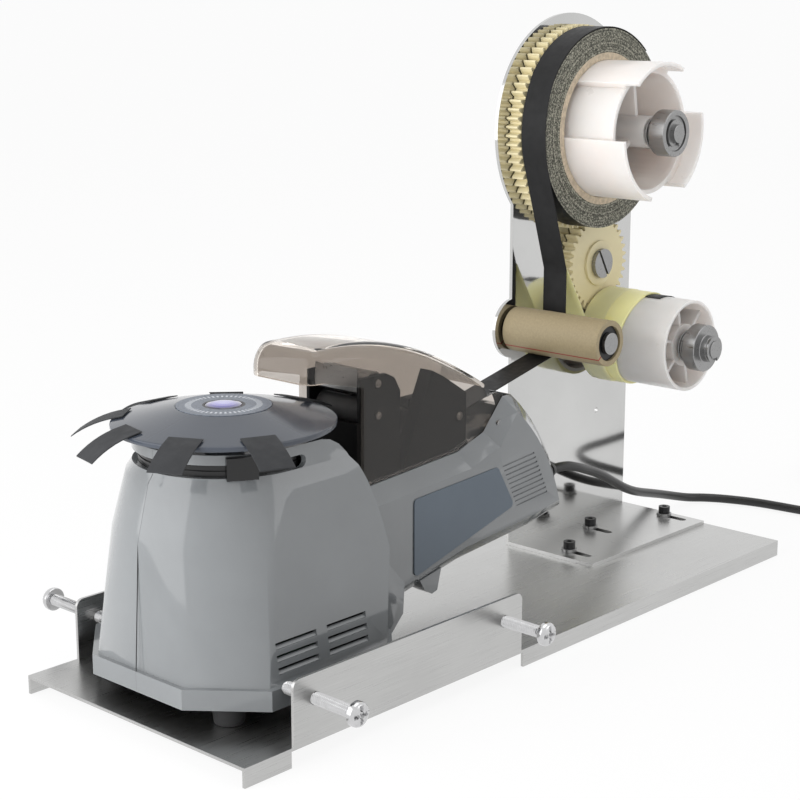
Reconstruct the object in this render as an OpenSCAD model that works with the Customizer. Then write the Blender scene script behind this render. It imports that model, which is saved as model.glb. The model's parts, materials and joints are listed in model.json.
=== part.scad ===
// Carousel tape dispenser clamped on a folded base plate, fed from a geared reel tower.
// X runs along the base from the carousel to the tower, Y away from the near side, Z up.

/* [Base] */
// Length of the base plate
base_l = 420; // [400:1:460]
// Width of the base plate over its flanges
base_w = 150; // [146:1:180]
// How far the plate's middle lies to the near side of the machine's middle
base_off = 5; // [0:0.5:8]
// Height of the plate's top above the table
flange_h = 9; // [6:0.5:16]
// Thickness of the base sheet
sheet_t = 1.5; // [1:0.1:2.5]
// Start of the wings from the front edge
wing_x = 28.5; // [24:0.5:34]
// Length of the wings
wing_l = 153.5; // [140:0.5:165]
// Height of the wings above the plate
wing_h = 30; // [26:0.5:40]
// Corner radius of the wings
wing_r = 4; // [1:0.5:8]

/* [Clamp screws] */
// Thread diameter of the clamp screws
clamp_d = 6; // [5:0.5:7]
// Length of the clamp screws under the head
clamp_l = 42; // [36:1:50]
// Distance of the screws from the wing ends
clamp_inset = 13; // [10:0.5:20]
// Height of the screws above the plate
clamp_z = 18.5; // [15:0.5:21]
// Diameter of the screw heads
clamp_head_d = 11.5; // [9:0.5:13]
// Height of the screw heads
clamp_head_h = 4; // [3:0.25:5]

/* [Machine body] */
// Carousel axis from the front edge of the base
drum_x = 64; // [60:0.5:70]
// Height of the rubber feet
foot_h = 9; // [6:0.5:12]
// Diameter of the rubber feet
foot_d = 16; // [12:0.5:20]
// Carousel axis to the front flat of the skirt
front_d = 55.6; // [52:0.2:58]
// Half width of the front flat
front_hw = 31; // [28:0.5:34]
// Carousel axis to the side flats of the skirt
side_d = 61.3; // [58:0.2:63]
// Where the side flats start in front of the axis
side_x = 30.3; // [27:0.5:33]
// Carousel axis to the rear of the skirt
rear_d = 60; // [57:0.5:62]
// Size of the rear corner chamfers
rear_c = 14; // [10:0.5:18]
// Height of the skirt band
band_h = 9.5; // [7:0.5:12]
// How far the skirt band stands proud
band_out = 2.5; // [1.5:0.25:3.5]
// Radius of the drum's collar
top_r = 42; // [40:0.5:43]
// Height of the collar under the drum's top
collar_h = 15; // [13:0.5:21]
// Height of the drum above the machine's underside
drum_h = 109; // [107:0.5:111]
// Wall of the body shells
wall = 2.5; // [2:0.1:3]
// Drop from the drum's top to the slot's lower edge
slot_drop = 10.5; // [9:0.25:12]
// Height of the slot round the drum's front
slot_h = 6; // [4:0.25:6.5]
// Angle that the slot spans
slot_a = 200; // [160:5:210]
// Length of a cooling slot
vent_l = 25; // [18:0.5:28]
// Height of a cooling slot
vent_h = 3; // [2:0.25:4]
// Step between cooling slots
vent_step = 5.5; // [5:0.25:7]

/* [Arm and tail] */
// Half width of the arm
arm_w = 30; // [28:0.5:32]
// Half width of the deck under the cover
deck_w = 22.5; // [22:0.25:24]
// Bevel between the arm's sides and its outline
bevel = 8; // [6:0.5:9]
// Deck height at its front
deck_z0 = 70; // [67:0.5:72]
// Deck height at its rear
deck_z1 = 78; // [76:0.5:79]
// Radius of the tail's back
tail_r = 118; // [112:1:124]
// Height of the tail's tip
tail_h = 100; // [99:0.5:104]
// Height of the cord exit
cord_z = 42; // [36:0.5:50]
// Number of grip grooves on a tail side
groove_n = 10; // [6:1:11]
// Step between grip grooves
groove_step = 2.6; // [2:0.1:2.8]
// Thickness of the side panels
panel_t = 0.7; // [0.5:0.1:1.5]

/* [Carousel] */
// Radius of the disc
disc_r = 51.4; // [50:0.2:53]
// Rise of the rim's upper edge over the drum's top
rim_rise = 6.2; // [5.6:0.2:8]
// Rise of the crown over the rim
crown_rise = 6.4; // [5.8:0.2:7.8]
// Thickness of the rim
rim_t = 2.5; // [2:0.25:3]
// Outer radius of the ring insert
ring_r = 21.8; // [19:0.2:24]
// Radius of the lens
lens_r = 8.5; // [7:0.25:9]
// Radius of the carousel shaft
shaft_r = 4; // [3:0.25:5]
// Step between tape pieces
piece_step = 40; // [36:1:45]
// Number of tape pieces on the disc
piece_n = 7; // [1:1:8]
// Outer reach of a tape piece from the axis
piece_r = 69.5; // [62:0.5:70]

/* [Cover and feed] */
// Half width of the cover
cover_w = 22; // [21:0.25:22]
// Thickness of the cover
cover_t = 2; // [1.5:0.1:2.5]
// Radius of the cover's back
cover_r = 179; // [176:0.5:182]
// Front edge of the cover's side walls from the carousel axis
cover_x = 68.5; // [68:0.25:70]
// Hinge axis from the carousel axis
hinge_x = 165; // [163:0.5:167]
// Height of the hinge axis
hinge_z = 87; // [86:0.5:88]
// Radius of the hinge pins
pin_r = 2; // [1.5:0.1:2.5]
// Half width of the feed frame
frame_w = 18; // [17:0.25:18.5]
// Radius of the feed roller
feed_r = 9; // [8:0.25:9.5]
// Radius of the pinch roller
pinch_r = 5.5; // [5:0.25:6]
// Radius of the inner guide pin
guide_r = 4; // [3:0.25:5]
// Travel of the cutter
cut_travel = 7; // [5:0.5:7]

/* [Tower] */
// Thickness of the tower sheet
tower_t = 2; // [1.5:0.1:3]
// Width of the tower
tower_w = 112; // [108:1:118]
// Gap from the tower to the rear end of the base
tower_gap = 1.5; // [0:0.5:8]
// Near face of the tower from the machine's middle
tower_y = 30; // [28:0.5:36]
// Depth of the tower's foot
foot_l = 62; // [54:1:68]
// Radius of the tower's round head
head_r = 63.2; // [62:0.2:68]
// Height of the reel axis above the plate
reel_h = 237.3; // [225:0.5:250]
// Height of the guide roller's axis above the plate
roller_h = 127.5; // [124:0.5:132]
// Guide roller's axis from the tower's left edge
roller_in = 2.5; // [2:0.5:8]
// Radius of the ear round the guide roller
ear_r = 17; // [15:0.5:20]
// Thread diameter of the foot screws
foot_screw_d = 4; // [3:0.5:5]

/* [Gears] */
// Gear module
gear_m = 1.5; // [1.4:0.05:1.6]
// Teeth of the reel gear
reel_teeth = 74; // [70:1:78]
// Teeth of the idler gear
idler_teeth = 35; // [32:1:38]
// Teeth of the rewind gear
rewind_teeth = 23; // [20:1:26]
// Width of the gears
gear_w = 8; // [6:0.5:8]
// Backlash at the pitch circle
backlash = 0.4; // [0.3:0.05:0.6]
// Direction from the reel to the idler
idler_a = -76; // [-80:1:-72]
// Direction from the idler to the rewind gear
rewind_a = -78; // [-84:1:-70]

/* [Reel and rewind] */
// Width of the tape
tape_w = 16; // [12:0.5:16]
// Outer radius of the tape roll
roll_r = 55.2; // [48:0.2:55.6]
// Outer radius of the card core
core_r = 42; // [41:0.5:45]
// Outer radius of the hub pads
pad_r = 38; // [37:0.1:38.5]
// Outer radius of the hub's barrel
barrel_r = 34; // [31:0.5:35]
// Radius of the studs
stud_r = 6; // [5:0.25:7]
// Radius of the reel's brake knob
knob_r = 12.6; // [11:0.2:15]
// Length of the reel's brake knob
knob_l = 10; // [8:0.5:14]
// Outer radius of the rewind spool
spool_r = 26; // [24:0.5:27]
// Outer radius of the wound liner
liner_r = 27.5; // [27.4:0.1:29]
// Radius of the rewind knob
clutch_r = 13.3; // [11:0.2:15]
// Wire diameter of the springs
wire_d = 1.2; // [1:0.1:1.2]
// Curls of the reel spring
reel_curls = 2; // [1:1:2]
// Curls of the rewind spring
rewind_curls = 3; // [2:1:3]

/* [Guide roller] */
// Radius of the guide roller
roller_r = 12.5; // [11:0.25:14]
// Length of the guide roller
roller_l = 64.5; // [58:0.5:66]
// Outer radius of the roller's bearings
bearing_r = 9.5; // [8:0.25:9.5]
// Radius of the roller's bolt
bolt_r = 4; // [3:0.25:5]

/* [Fits] */
// Radial running clearance of shafts
run_gap = 0.06; // [0.03:0.01:0.1]
// Gap between bodies that move past each other
body_gap = 0.35; // [0.3:0.05:0.5]
// Clearance of pieces that seat in a recess
seat_gap = 0.2; // [0.1:0.05:0.3]

/* [Hidden] */
$fn = 64;

// Sheet thicknesses of the two webs, and their free gap at the rollers
tape_t = 0.5;
liner_t = 0.3;

// Places on the base, measured from its front edge
plate_z = flange_h;
near_y = -base_w / 2 - base_off;
far_y = base_w / 2 - base_off;
pan_z = plate_z + foot_h;
first_a = 7;
piece_turn = first_a + 160;
piece_w = tape_w;
left_x = drum_x + piece_r * cos(piece_turn) - piece_w / 2 * sin(piece_turn);
mid_x = (base_l + left_x) / 2;

// Heights that go with the drum's top
loft_z = drum_h - collar_h;
slot_z = drum_h - slot_drop;
rim_z = drum_h + rim_rise;
crown_z = rim_z + crown_rise;
feed_drop = 4;

// The machine's outlines, from the carousel axis and the machine's underside
deck_x0 = 36;
deck_x1 = 150;
belly_z0 = 1;
belly_slope = 0.197;
arm_x1 = hinge_x + 7;
tail_x0 = deck_x1 - 24;
tail_mid = [105.6, 6.5];
shoulder_x = 20;
shoulder_z = 27;
shoulder_a = 36;
top_t = 2.5;
pan_t = 2.5;
function deck(u) = deck_z0 + (u - deck_x0) * (deck_z1 - deck_z0) / (deck_x1 - deck_x0);
function belly(u) = belly_z0 + (u - deck_x0) * belly_slope;
function tail_x(w) = tail_mid.x + sqrt(tail_r * tail_r - pow(w - tail_mid.y, 2));
hinge_r = 15.5;
cover_mid = [53, crown_z + 21.4 - cover_r];

// The feed rollers and the pin that the tape dips under
feed_p = [cover_x + 13.5, drum_h - feed_drop];
pinch_p = [feed_p.x, feed_p.y + feed_r + pinch_r + tape_t + 2 * body_gap];
guide_p = [hinge_x - 23, hinge_z + 7];
feed_shaft_r = 2.5;
pinch_shaft_r = 2;
frame_x = cover_x + 1.2;
frame_x1 = feed_p.x + 16;
frame_top = pinch_p.y + 4;
blade_x = frame_x + 2.3;
blade_t = 0.8;

// The tower's axes, in the base's X and Z
tower_x1 = base_l - tower_gap;
tower_x0 = tower_x1 - tower_w;
reel_p = [tower_x1 - head_r, plate_z + reel_h];
function polar(a, d) = d * [cos(a), sin(a)];
idler_p = reel_p + polar(idler_a, (reel_teeth + idler_teeth) * gear_m / 2);
rewind_p = idler_p + polar(rewind_a, (idler_teeth + rewind_teeth) * gear_m / 2);
roller_p = [tower_x0 + roller_in, plate_z + roller_h];
gear_y1 = tower_y - 0.5;
gear_y0 = gear_y1 - gear_w;
tape_y = gear_y0 - 1.5 - tape_w / 2;
roller_gap = 1.5;
roller_y1 = tower_y - roller_gap;
roller_y0 = roller_y1 - roller_l;

// Places along the reel and rewind studs
boss_l = 48.5;
sleeve_l = 55.5;
spool_l = 58.5;
barrel_l = 47;
pad_over = 10;
boss_y = gear_y0 - boss_l;
knob_y = boss_y - 6;
sleeve_y = gear_y0 - sleeve_l;
spool_y = gear_y0 - 1 - spool_l;
clutch_y = sleeve_y - 7;
thread_r = stud_r - 1;

// Helpers: frames, plates in the XZ plane and round bars along Y
module at_base() translate([-mid_x, 0, 0]) children();
module at_machine() translate([drum_x - mid_x, 0, pan_z]) children();
module plate_xz(y0, y1) translate([0, y1, 0]) rotate([90, 0, 0]) linear_extrude(y1 - y0) children();
module bar_y(p, r, y0, y1) translate([p.x, y1, p.y]) rotate([90, 0, 0]) cylinder(r = r, h = y1 - y0);
module ring_y(p, r, bore, y0, y1) difference() {
    bar_y(p, r, y0, y1);
    bar_y(p, bore, y0 - 1, y1 + 1);
}

// Round tube along a path: rings square to the path, turned about a reference direction
function unit(v) = v / norm(v);
function heading(path, i) = unit(path[min(i + 1, len(path) - 1)] - path[max(i - 1, 0)]);
module tube(path, r, sides, ref) {
    rings = [
        for (i = [0:len(path) - 1])
            let (t = heading(path, i), s = unit(cross(t, ref)), n = cross(s, t))
                for (k = [0:sides - 1]) path[i] + r * (cos(360 * k / sides) * s + sin(360 * k / sides) * n)
    ];
    last = (len(path) - 1) * sides;
    polyhedron(rings, concat(
        [for (k = [1:sides - 2]) [0, k + 1, k]],
        [for (k = [1:sides - 2]) [last, last + k, last + k + 1]],
        [for (i = [0:len(path) - 2], k = [0:sides - 1])
            let (a = i * sides + k, b = i * sides + (k + 1) % sides) [a, b + sides, a + sides]],
        [for (i = [0:len(path) - 2], k = [0:sides - 1])
            let (a = i * sides + k, b = i * sides + (k + 1) % sides) [a, b, b + sides]]
    ));
}
function least_gap(path, skip, d) = min([
    for (i = [0:len(path) - 1 - skip], j = [i + skip:len(path) - 1]) norm(path[i] - path[j])
]) - d;

// Base

module base_plate() color("lightgray") at_base() difference() {
    union() {
        translate([0, near_y, plate_z - sheet_t]) cube([base_l, base_w, sheet_t]);
        for (y = [near_y, far_y - sheet_t]) {
            translate([0, y, 0]) cube([wing_x - sheet_t, sheet_t, plate_z]);
            translate([wing_x + wing_l + sheet_t, y, 0])
                cube([base_l - wing_x - wing_l - sheet_t, sheet_t, plate_z]);
            plate_xz(y, y + sheet_t) wing_outline();
        }
    }
    for (x = clamp_xs)
        bar_y([x, plate_z + clamp_z], clamp_d / 2 + run_gap, near_y - 1, far_y + 1);
    for (p = foot_screw_ps)
        translate([p.x, p.y, -1]) cylinder(d = foot_screw_d + 2 * run_gap, h = plate_z + 2);
}
clamp_xs = [wing_x + clamp_inset, wing_x + wing_l - clamp_inset];
module wing_outline() translate([wing_x, plate_z - sheet_t]) difference() {
    square([wing_l, wing_h + sheet_t]);
    for (m = [0, 1]) translate([m * wing_l, wing_h + sheet_t]) mirror([m, 0]) difference() {
        translate([-1, -wing_r]) square(wing_r + 1);
        translate([wing_r, -wing_r]) circle(wing_r);
    }
}

// Pan-head screw whose tip stands just off the machine's skirt; side is -1 near and 1 far
clamp_tip = side_d + body_gap;
module clamp_screw(x, side) color("silver") at_base() translate([x, 0, plate_z + clamp_z])
    rotate([-90 * side, 0, 0]) difference() {
        union() {
            translate([0, 0, clamp_tip]) cylinder(d = clamp_d, h = clamp_l);
            translate([0, 0, clamp_tip + clamp_l]) rotate_extrude() intersection() {
                square([clamp_head_d / 2, clamp_head_h]);
                translate([0, clamp_head_h - clamp_head_d]) circle(clamp_head_d);
            }
        }
        for (a = [0, 90]) rotate(a)
            translate([-clamp_head_d / 4, -0.6, clamp_tip + clamp_l + clamp_head_h - 1.8])
                cube([clamp_head_d / 2, 1.2, 3]);
    }
module clamp_screw_near_front() clamp_screw(clamp_xs[0], -1);
module clamp_screw_near_rear() clamp_screw(clamp_xs[1], -1);
module clamp_screw_far_front() clamp_screw(clamp_xs[0], 1);
module clamp_screw_far_rear() clamp_screw(clamp_xs[1], 1);

// Body shells

// Skirt outline drawn in by a given amount
function drum_plan(in) = let (k = 0.414 * in, f = front_d - in, s = side_d - in, r = rear_d - in) [
    [-f, -front_hw + k], [-side_x + k, -s], [r - rear_c + in - k, -s], [r, -s + rear_c - in + k],
    [r, s - rear_c + in - k], [r - rear_c + in - k, s], [-side_x + k, s], [-f, front_hw - k]
];
belly_h = 68;
belly_out = 10;
brow_out = 3;
module collar_plan(r) {
    circle(r, $fn = 48);
    translate([0, -r]) square([rear_d - 5, 2 * r]);
}
module drum_side(in) polygon(concat(
    [[-front_d - 5, -1], [-front_d - 5, drum_h - in]],
    [for (a = [90:-9:0]) [
        shoulder_x + (shoulder_a - in) * cos(a), shoulder_z + (drum_h - shoulder_z - in) * sin(a)
    ]],
    [[shoulder_x + shoulder_a - in, -1]]
));
// Leaning flanks that cut the drum's bulge to flat sides with an arched edge
flank_lean = 0.16;
function side_y(w) = side_d - band_out + 0.1 - flank_lean * (w - band_h);
module flanks(in) rotate([90, 0, 90]) translate([0, 0, -front_d - 5]) linear_extrude(front_d + rear_d + 10)
    polygon([
        [in - side_y(-1), -1], [side_y(-1) - in, -1],
        [side_y(drum_h) - in, drum_h], [in - side_y(drum_h), drum_h]
    ]);
// Eight-sided foot lofted into a round collar, cut by the flanks and the rounded rear shoulder
module drum_form(in) intersection() {
    union() {
        hull() {
            translate([0, 0, band_h - 0.01]) linear_extrude(0.01) polygon(drum_plan(band_out + in));
            translate([0, 0, belly_h]) linear_extrude(0.01) collar_plan(top_r + belly_out - in);
            translate([0, 0, loft_z]) linear_extrude(0.01) collar_plan(top_r + brow_out - in);
            translate([0, 0, slot_z - 0.3]) linear_extrude(0.01) collar_plan(top_r - in);
        }
        translate([0, 0, loft_z]) linear_extrude(drum_h - loft_z) collar_plan(top_r - in);
    }
    plate_xz(-side_d, side_d) drum_side(in);
    flanks(in);
}
arm_side = [
    [deck_x0, belly(deck_x0)], [arm_x1, belly(arm_x1)], [arm_x1, deck(arm_x1)], [deck_x0, deck_z0]
];
tail_low = 31;
tail_nose = [[tail_x0 + 10, deck(tail_x0 + 10)], [hinge_x - 9, hinge_z - 3.3]];
tail_side = concat(
    [[tail_x0, belly(tail_x0) + 1], [tail_mid.x + 88, tail_low - 5]],
    tail_arc(tail_low, tail_nose[1].y, 6),
    [tail_nose[1], tail_nose[0], [tail_x0, deck(tail_x0) - 3]]
);
tip_low = 60;
tip_side = concat(
    tail_arc(tip_low, tail_h, 6),
    [[hinge_x + 6, tail_h], tail_nose[1], [hinge_x - 15, hinge_z - 17], [hinge_x - 5, tip_low]]
);
function tail_arc(w0, w1, n) = [for (i = [0:n]) let (w = w0 + (w1 - w0) * i / n) [tail_x(w), w]];
// Side outline as a body whose flanks are bevelled towards the outline
module bevelled(outline) hull() {
    plate_xz(-deck_w, deck_w) polygon(outline);
    plate_xz(-arm_w, arm_w) offset(delta = -bevel) polygon(outline);
}
module arm_hollow() {
    plate_xz(wall - arm_w, arm_w - wall) intersection() {
        offset(delta = -bevel) polygon(arm_side);
        translate([deck_x0, 0]) square([deck_x1 - deck_x0 - 10, deck_z1]);
    }
    plate_xz(wall - arm_w, arm_w - wall) intersection() {
        offset(delta = -bevel) polygon(tail_side);
        translate([deck_x1 - 20, 0]) square([tail_r, hinge_z - hinge_r - 8]);
    }
}
module body_outer() {
    linear_extrude(band_h) polygon(drum_plan(0));
    drum_form(0);
    bevelled(arm_side);
    bevelled(tail_side);
    bevelled(tip_side);
    hip();
    for (m = [0, 1]) mirror([0, m, 0]) plate_xz(-26, -17) lug_outline();
}
// Flared rear of the drum where the arm leaves it, and a lug under each side of the arm
hip_side = [[40, 52], [52, 51], [72, 29], [71, 14], [60, 3], [40, 3]];
module hip() hull() {
    plate_xz(-arm_w - 15, arm_w + 15) polygon(hip_side);
    plate_xz(-arm_w, arm_w) offset(delta = 5) polygon(hip_side);
}
lug_x = 104;
module lug_outline() polygon([
    [lug_x, belly(lug_x) + 3], [lug_x + 16, belly(lug_x + 16) + 3], [lug_x + 13, belly(lug_x) - 5],
    [lug_x + 9, belly(lug_x) - 6], [lug_x + 4, belly(lug_x) - 3]
]);
module body_inner() {
    translate([0, 0, -1]) linear_extrude(band_h + 1) polygon(drum_plan(band_out + wall));
    drum_form(max(wall, top_t));
    arm_hollow();
}
vent_z = 14;
module vents() for (x = [-23, 8.5], k = [0:2], s = [-1, 1])
    translate([x, s > 0 ? side_d - 20 : -side_d, vent_z + k * vent_step]) cube([vent_l, 20, vent_h]);
module front_slot() {
    rotate(180 - slot_a / 2) rotate_extrude(angle = slot_a)
        translate([top_r - wall - 1, slot_z]) square([wall + 5, slot_h]);
    for (a = [180 - slot_a / 2, 180 + slot_a / 2]) rotate(a)
        translate([top_r - wall - 1, 0, slot_z + slot_h / 2])
        rotate([0, 90, 0]) cylinder(d = slot_h, h = wall + 5);
}
groove_l = 26;
groove_x = hinge_x - 2;
groove_z = 65;
module grooves() for (s = [-1, 1], k = [0:groove_n - 1])
    translate([groove_x + k * groove_step * 0.5, s * arm_w, groove_z - k * groove_step]) rotate([0, -5, 0])
        translate([0, -0.6, 0]) cube([groove_l, 1.2, 0.9]);
// Recess for the cover's rear, the slot that lets the tape in, and small bores
slot_y = [-8, tape_y + tape_w / 2];
module tail_cuts() {
    bar_y([hinge_x, hinge_z], hinge_r + pocket_gap, -cover_w - body_gap, cover_w + body_gap);
    translate([hinge_x, slot_y[0], guide_p.y - 3]) cube([60, slot_y[1] - slot_y[0], 40]);
    bar_y([hinge_x, hinge_z], pin_r, -pin_end, pin_end);
    translate([tail_x(cord_z) - 20, 0, cord_z]) rotate([0, 90, 0]) cylinder(r = relief_r - 1.45, h = 40);
}
pin_end = arm_w - 4;
pocket_gap = 2.3;
module body_shell(side) color([0.55, 0.56, 0.58]) at_machine() intersection() {
    translate([-front_d - 5, side < 0 ? -side_d - 5 : 0, -1]) cube([front_d + 250, side_d + 5, drum_h + 20]);
    difference() {
        body_outer();
        body_inner();
        vents();
        front_slot();
        grooves();
        tail_cuts();
        cylinder(r = bush_r, h = drum_h + 1);
        translate(switch_p - [switch_w / 2, 20, switch_l / 2]) cube([switch_w, 40, switch_l]);
    }
}
module body_shell_near() body_shell(-1);
module body_shell_far() body_shell(1);

module bottom_pan() color([0.15, 0.15, 0.16]) at_machine()
    linear_extrude(pan_t) polygon(drum_plan(band_out + wall + seat_gap));
module rubber_feet() color([0.1, 0.1, 0.1]) at_machine()
    for (x = [-front_d + 20, rear_d - 18], y = [-side_d + 22, side_d - 22])
        translate([x, y, -foot_h]) cylinder(d1 = foot_d - 2, d2 = foot_d, h = foot_h);
module control_board() color([0.1, 0.35, 0.2]) at_machine() {
    translate([-30, -36, pan_t + 4]) cube([62, 72, 1.6]);
    for (x = [-24, 26], y = [-30, 30]) translate([x, y, pan_t]) cylinder(r = 3, h = 4);
}
motor_r = 18;
module carousel_motor() color([0.5, 0.5, 0.52]) at_machine() difference() {
    translate([0, 0, drum_h - top_t - 46]) cylinder(r = motor_r, h = 46);
    translate([0, 0, drum_h - top_t - 40]) cylinder(r = shaft_r + run_gap, h = 60);
}
bush_r = shaft_r + 3.5;
module shaft_bush() color([0.7, 0.6, 0.35]) at_machine() difference() {
    translate([0, 0, drum_h - top_t]) cylinder(r = bush_r, h = top_t + 0.6);
    cylinder(r = shaft_r + run_gap, h = drum_h + 5);
}
lining_x = 12;
module slot_lining() color([0.08, 0.08, 0.09]) at_machine() difference() {
    translate([0, 0, slot_z - 3]) cylinder(r = top_r - wall - seat_gap, h = drum_h - top_t - slot_z + 3);
    cylinder(r = top_r - wall - 3.2, h = drum_h);
    translate([lining_x, -top_r, 0]) cube([top_r, 2 * top_r, drum_h]);
    translate([0, 0, slot_z + slot_h / 2 - 0.4]) rotate_extrude()
        translate([top_r - wall - 1, 0]) square([2, 0.8]);
}
sensor_a = 238;
module tape_sensor() color([0.06, 0.06, 0.07]) at_machine() rotate(sensor_a) {
    translate([top_r + 0.3, -7, slot_z]) cube([3.6, 14, drum_h - slot_z - 0.5]);
    translate([top_r - wall + 0.1, -6, slot_z + 0.3]) cube([wall + 1, 12, slot_h - 0.8]);
}
panel_x = [94.7, 158.6, 172.2];
module panel_outline() offset(r = 2.5) offset(delta = -2.5) polygon([
    [panel_x[0], belly(panel_x[0]) + 9.7], [panel_x[2], belly(panel_x[2]) + 15],
    [panel_x[1], deck(panel_x[1]) - 12.6], [panel_x[0], deck(panel_x[0]) - 11.8]
]);
module side_panels() color([0.36, 0.41, 0.46]) at_machine() for (m = [0, 1]) mirror([0, m, 0])
    plate_xz(-arm_w - panel_t, -arm_w) panel_outline();

// Power rocker on the far side of the arm
switch_p = [84, arm_w, 48];
switch_w = 13;
switch_l = 19;
rocker_w = 9;
rocker_r = 7;
rocker_tilt = 8;
module switch_body() color([0.07, 0.07, 0.07]) at_machine() translate(switch_p) difference() {
    union() {
        translate([-switch_w / 2 + seat_gap, -14, -switch_l / 2 + seat_gap])
            cube([switch_w - 2 * seat_gap, 14, switch_l - 2 * seat_gap]);
        translate([-switch_w / 2 - 1, 0, -switch_l / 2 - 1]) cube([switch_w + 2, 1.8, switch_l + 2]);
    }
    translate([-rocker_w / 2 - body_gap, 0, 0]) rotate([0, 90, 0])
        cylinder(r = rocker_r + body_gap, h = rocker_w + 2 * body_gap);
}
module switch_rocker() color([0.6, 0.08, 0.07]) at_machine() translate(switch_p) rotate([rocker_tilt, 0, 0])
    translate([-rocker_w / 2, 0, 0]) rotate([90, 0, 90]) linear_extrude(rocker_w) intersection() {
        circle(rocker_r);
        polygon([[-8, -8], [1.5, -8], [3.6, -7], [2.6, 0], [3.6, 7], [1.5, 8], [-8, 8]]);
    }

// Carousel

recess = 0.8;
hub_r = shaft_r + 5;
hub_z = drum_h + 0.6 + body_gap;
module carousel_disc() color([0.36, 0.4, 0.45]) at_machine() rotate_extrude($fn = 96) polygon([
    [shaft_r, hub_z], [hub_r, hub_z], [hub_r, crown_z - 4], [ring_r, crown_z - 4],
    [disc_r - 3, rim_z - rim_t], [disc_r - 0.6, rim_z - rim_t], [disc_r, rim_z - rim_t + 0.6],
    [disc_r, rim_z - 0.5], [disc_r - 0.6, rim_z], [ring_r + seat_gap, crown_z],
    [ring_r + seat_gap, crown_z - recess], [shaft_r, crown_z - recess]
]);
module ring_insert() color([0.45, 0.47, 0.5]) at_machine() translate([0, 0, crown_z - recess]) difference() {
    cylinder(r = ring_r, h = recess + 0.2);
    translate([0, 0, -1]) cylinder(r = lens_r + seat_gap, h = 5);
}
module lens_cap() color([0.45, 0.4, 0.8]) at_machine() translate([0, 0, crown_z - recess]) rotate_extrude()
    polygon([
        [0, 0], [lens_r, 0], [lens_r, 0.9], [lens_r * 0.95, 1.2],
        [lens_r * 0.7, 1.7], [lens_r * 0.4, 1.94], [0, 2]
    ]);
module carousel_shaft() color("silver") at_machine()
    translate([0, 0, drum_h - top_t - 38]) cylinder(r = shaft_r, h = crown_z - recess - drum_h + top_t + 38);

// Cut tape stuck on the cone near the rim and drooping outside it
cone_a = atan2(crown_z - rim_z, disc_r - 0.6 - ring_r - seat_gap);
piece_in = 6.5;
droop_n = 6;
droops = [14, 16, 18, 22, 26, 18, 14];
function droop(k, bend) = k == 0 ? [disc_r, rim_z + 0.15] : let (a = cone_a + bend * k / droop_n)
    droop(k - 1, bend) + (piece_r - disc_r) / droop_n / cos(cone_a + bend / 2) * [cos(a), -sin(a)];
function piece_line(bend) = concat(
    [[disc_r - piece_in, rim_z + 0.15 + piece_in * tan(cone_a)]], [for (k = [0:droop_n]) droop(k, bend)]
);
module piece_outline(line)
    polygon(concat(line, [for (k = [len(line) - 1:-1:0]) line[k] + [0, tape_t]]));
module tape_pieces() color([0.22, 0.22, 0.23]) at_machine()
    for (k = [0:piece_n - 1]) rotate(first_a + k * piece_step) plate_xz(-piece_w / 2, piece_w / 2)
        piece_outline(piece_line(droops[k % len(droops)]));

// Cover and feed

// Side view of the cover: arched back, round rear about the hinge, nose of the visor
visor_z = crown_z - 0.4;
cover_a0 = atan2(crown_z + 19.4 - cover_mid.y, 41 - cover_mid.x);
cover_a1 = atan2(101 - cover_mid.y, hinge_x + 0.5 - cover_mid.x);
cover_line = concat(
    [[cover_x - 20, deck(cover_x) - 8], [34, visor_z - 4.2], [34, crown_z + 10.9], [36, crown_z + 16.4]],
    [for (i = [0:10]) cover_mid + polar(cover_a0 + (cover_a1 - cover_a0) * i / 10, cover_r)],
    [for (a = [75:-25:-100]) [hinge_x, hinge_z] + polar(a, hinge_r)],
    [[deck_x1 - 6, deck(deck_x1 - 6) - 8]]
);
cover_x1 = tail_nose[0].x;
cover_bevel = 5;
module cover_form(in) hull() {
    plate_xz(cover_bevel - cover_w, cover_w - cover_bevel) offset(delta = -in) polygon(cover_line);
    plate_xz(in - cover_w, cover_w - in) offset(delta = -in - cover_bevel) polygon(cover_line);
}
module smoked_cover() color([0.4, 0.33, 0.28, 0.6]) at_machine() difference() {
    cover_form(0);
    cover_form(cover_t);
    plate_xz(-cover_w - 1, cover_w + 1)
        polygon([
            [20, 40], [cover_x1, 40],
            [cover_x1, deck(cover_x1) + body_gap], [cover_x, deck(cover_x) + body_gap],
            [cover_x, visor_z], [30, visor_z + 6.6], [20, visor_z + 6.6]
        ]);
    plate_xz(-cover_w - 1, cover_w + 1) difference() {
        union() {
            polygon([
                [cover_x1 - 1, 40], [hinge_x + 30, 40], [hinge_x + 30, hinge_z], [hinge_x, hinge_z],
                tail_nose[1] + [0, body_gap], tail_nose[0] + [-1, body_gap]
            ]);
            translate([hinge_x - 6.5, hinge_z + 14.5]) square(40);
        }
        translate([hinge_x, hinge_z]) circle(hinge_r);
    }
    plate_xz(cover_t - cover_w, cover_w - cover_t)
        polygon([
            [cover_x - 5, 50], [hinge_x - 3, 50], [hinge_x - 3, deck_z1 + 9], [cover_x - 5, deck_z1 + 9]
        ]);
    translate([hinge_x - 2, slot_y[0] - 1, hinge_z - 7]) cube([40, slot_y[1] - slot_y[0] + 2, 40]);
    bar_y([hinge_x, hinge_z], pin_r + run_gap, -cover_w - 1, cover_w + 1);
}
module hinge_pins() color("silver") at_machine() for (m = [0, 1]) mirror([0, m, 0])
    bar_y([hinge_x, hinge_z], pin_r, cover_w - cover_t - 0.5, pin_end);

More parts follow.
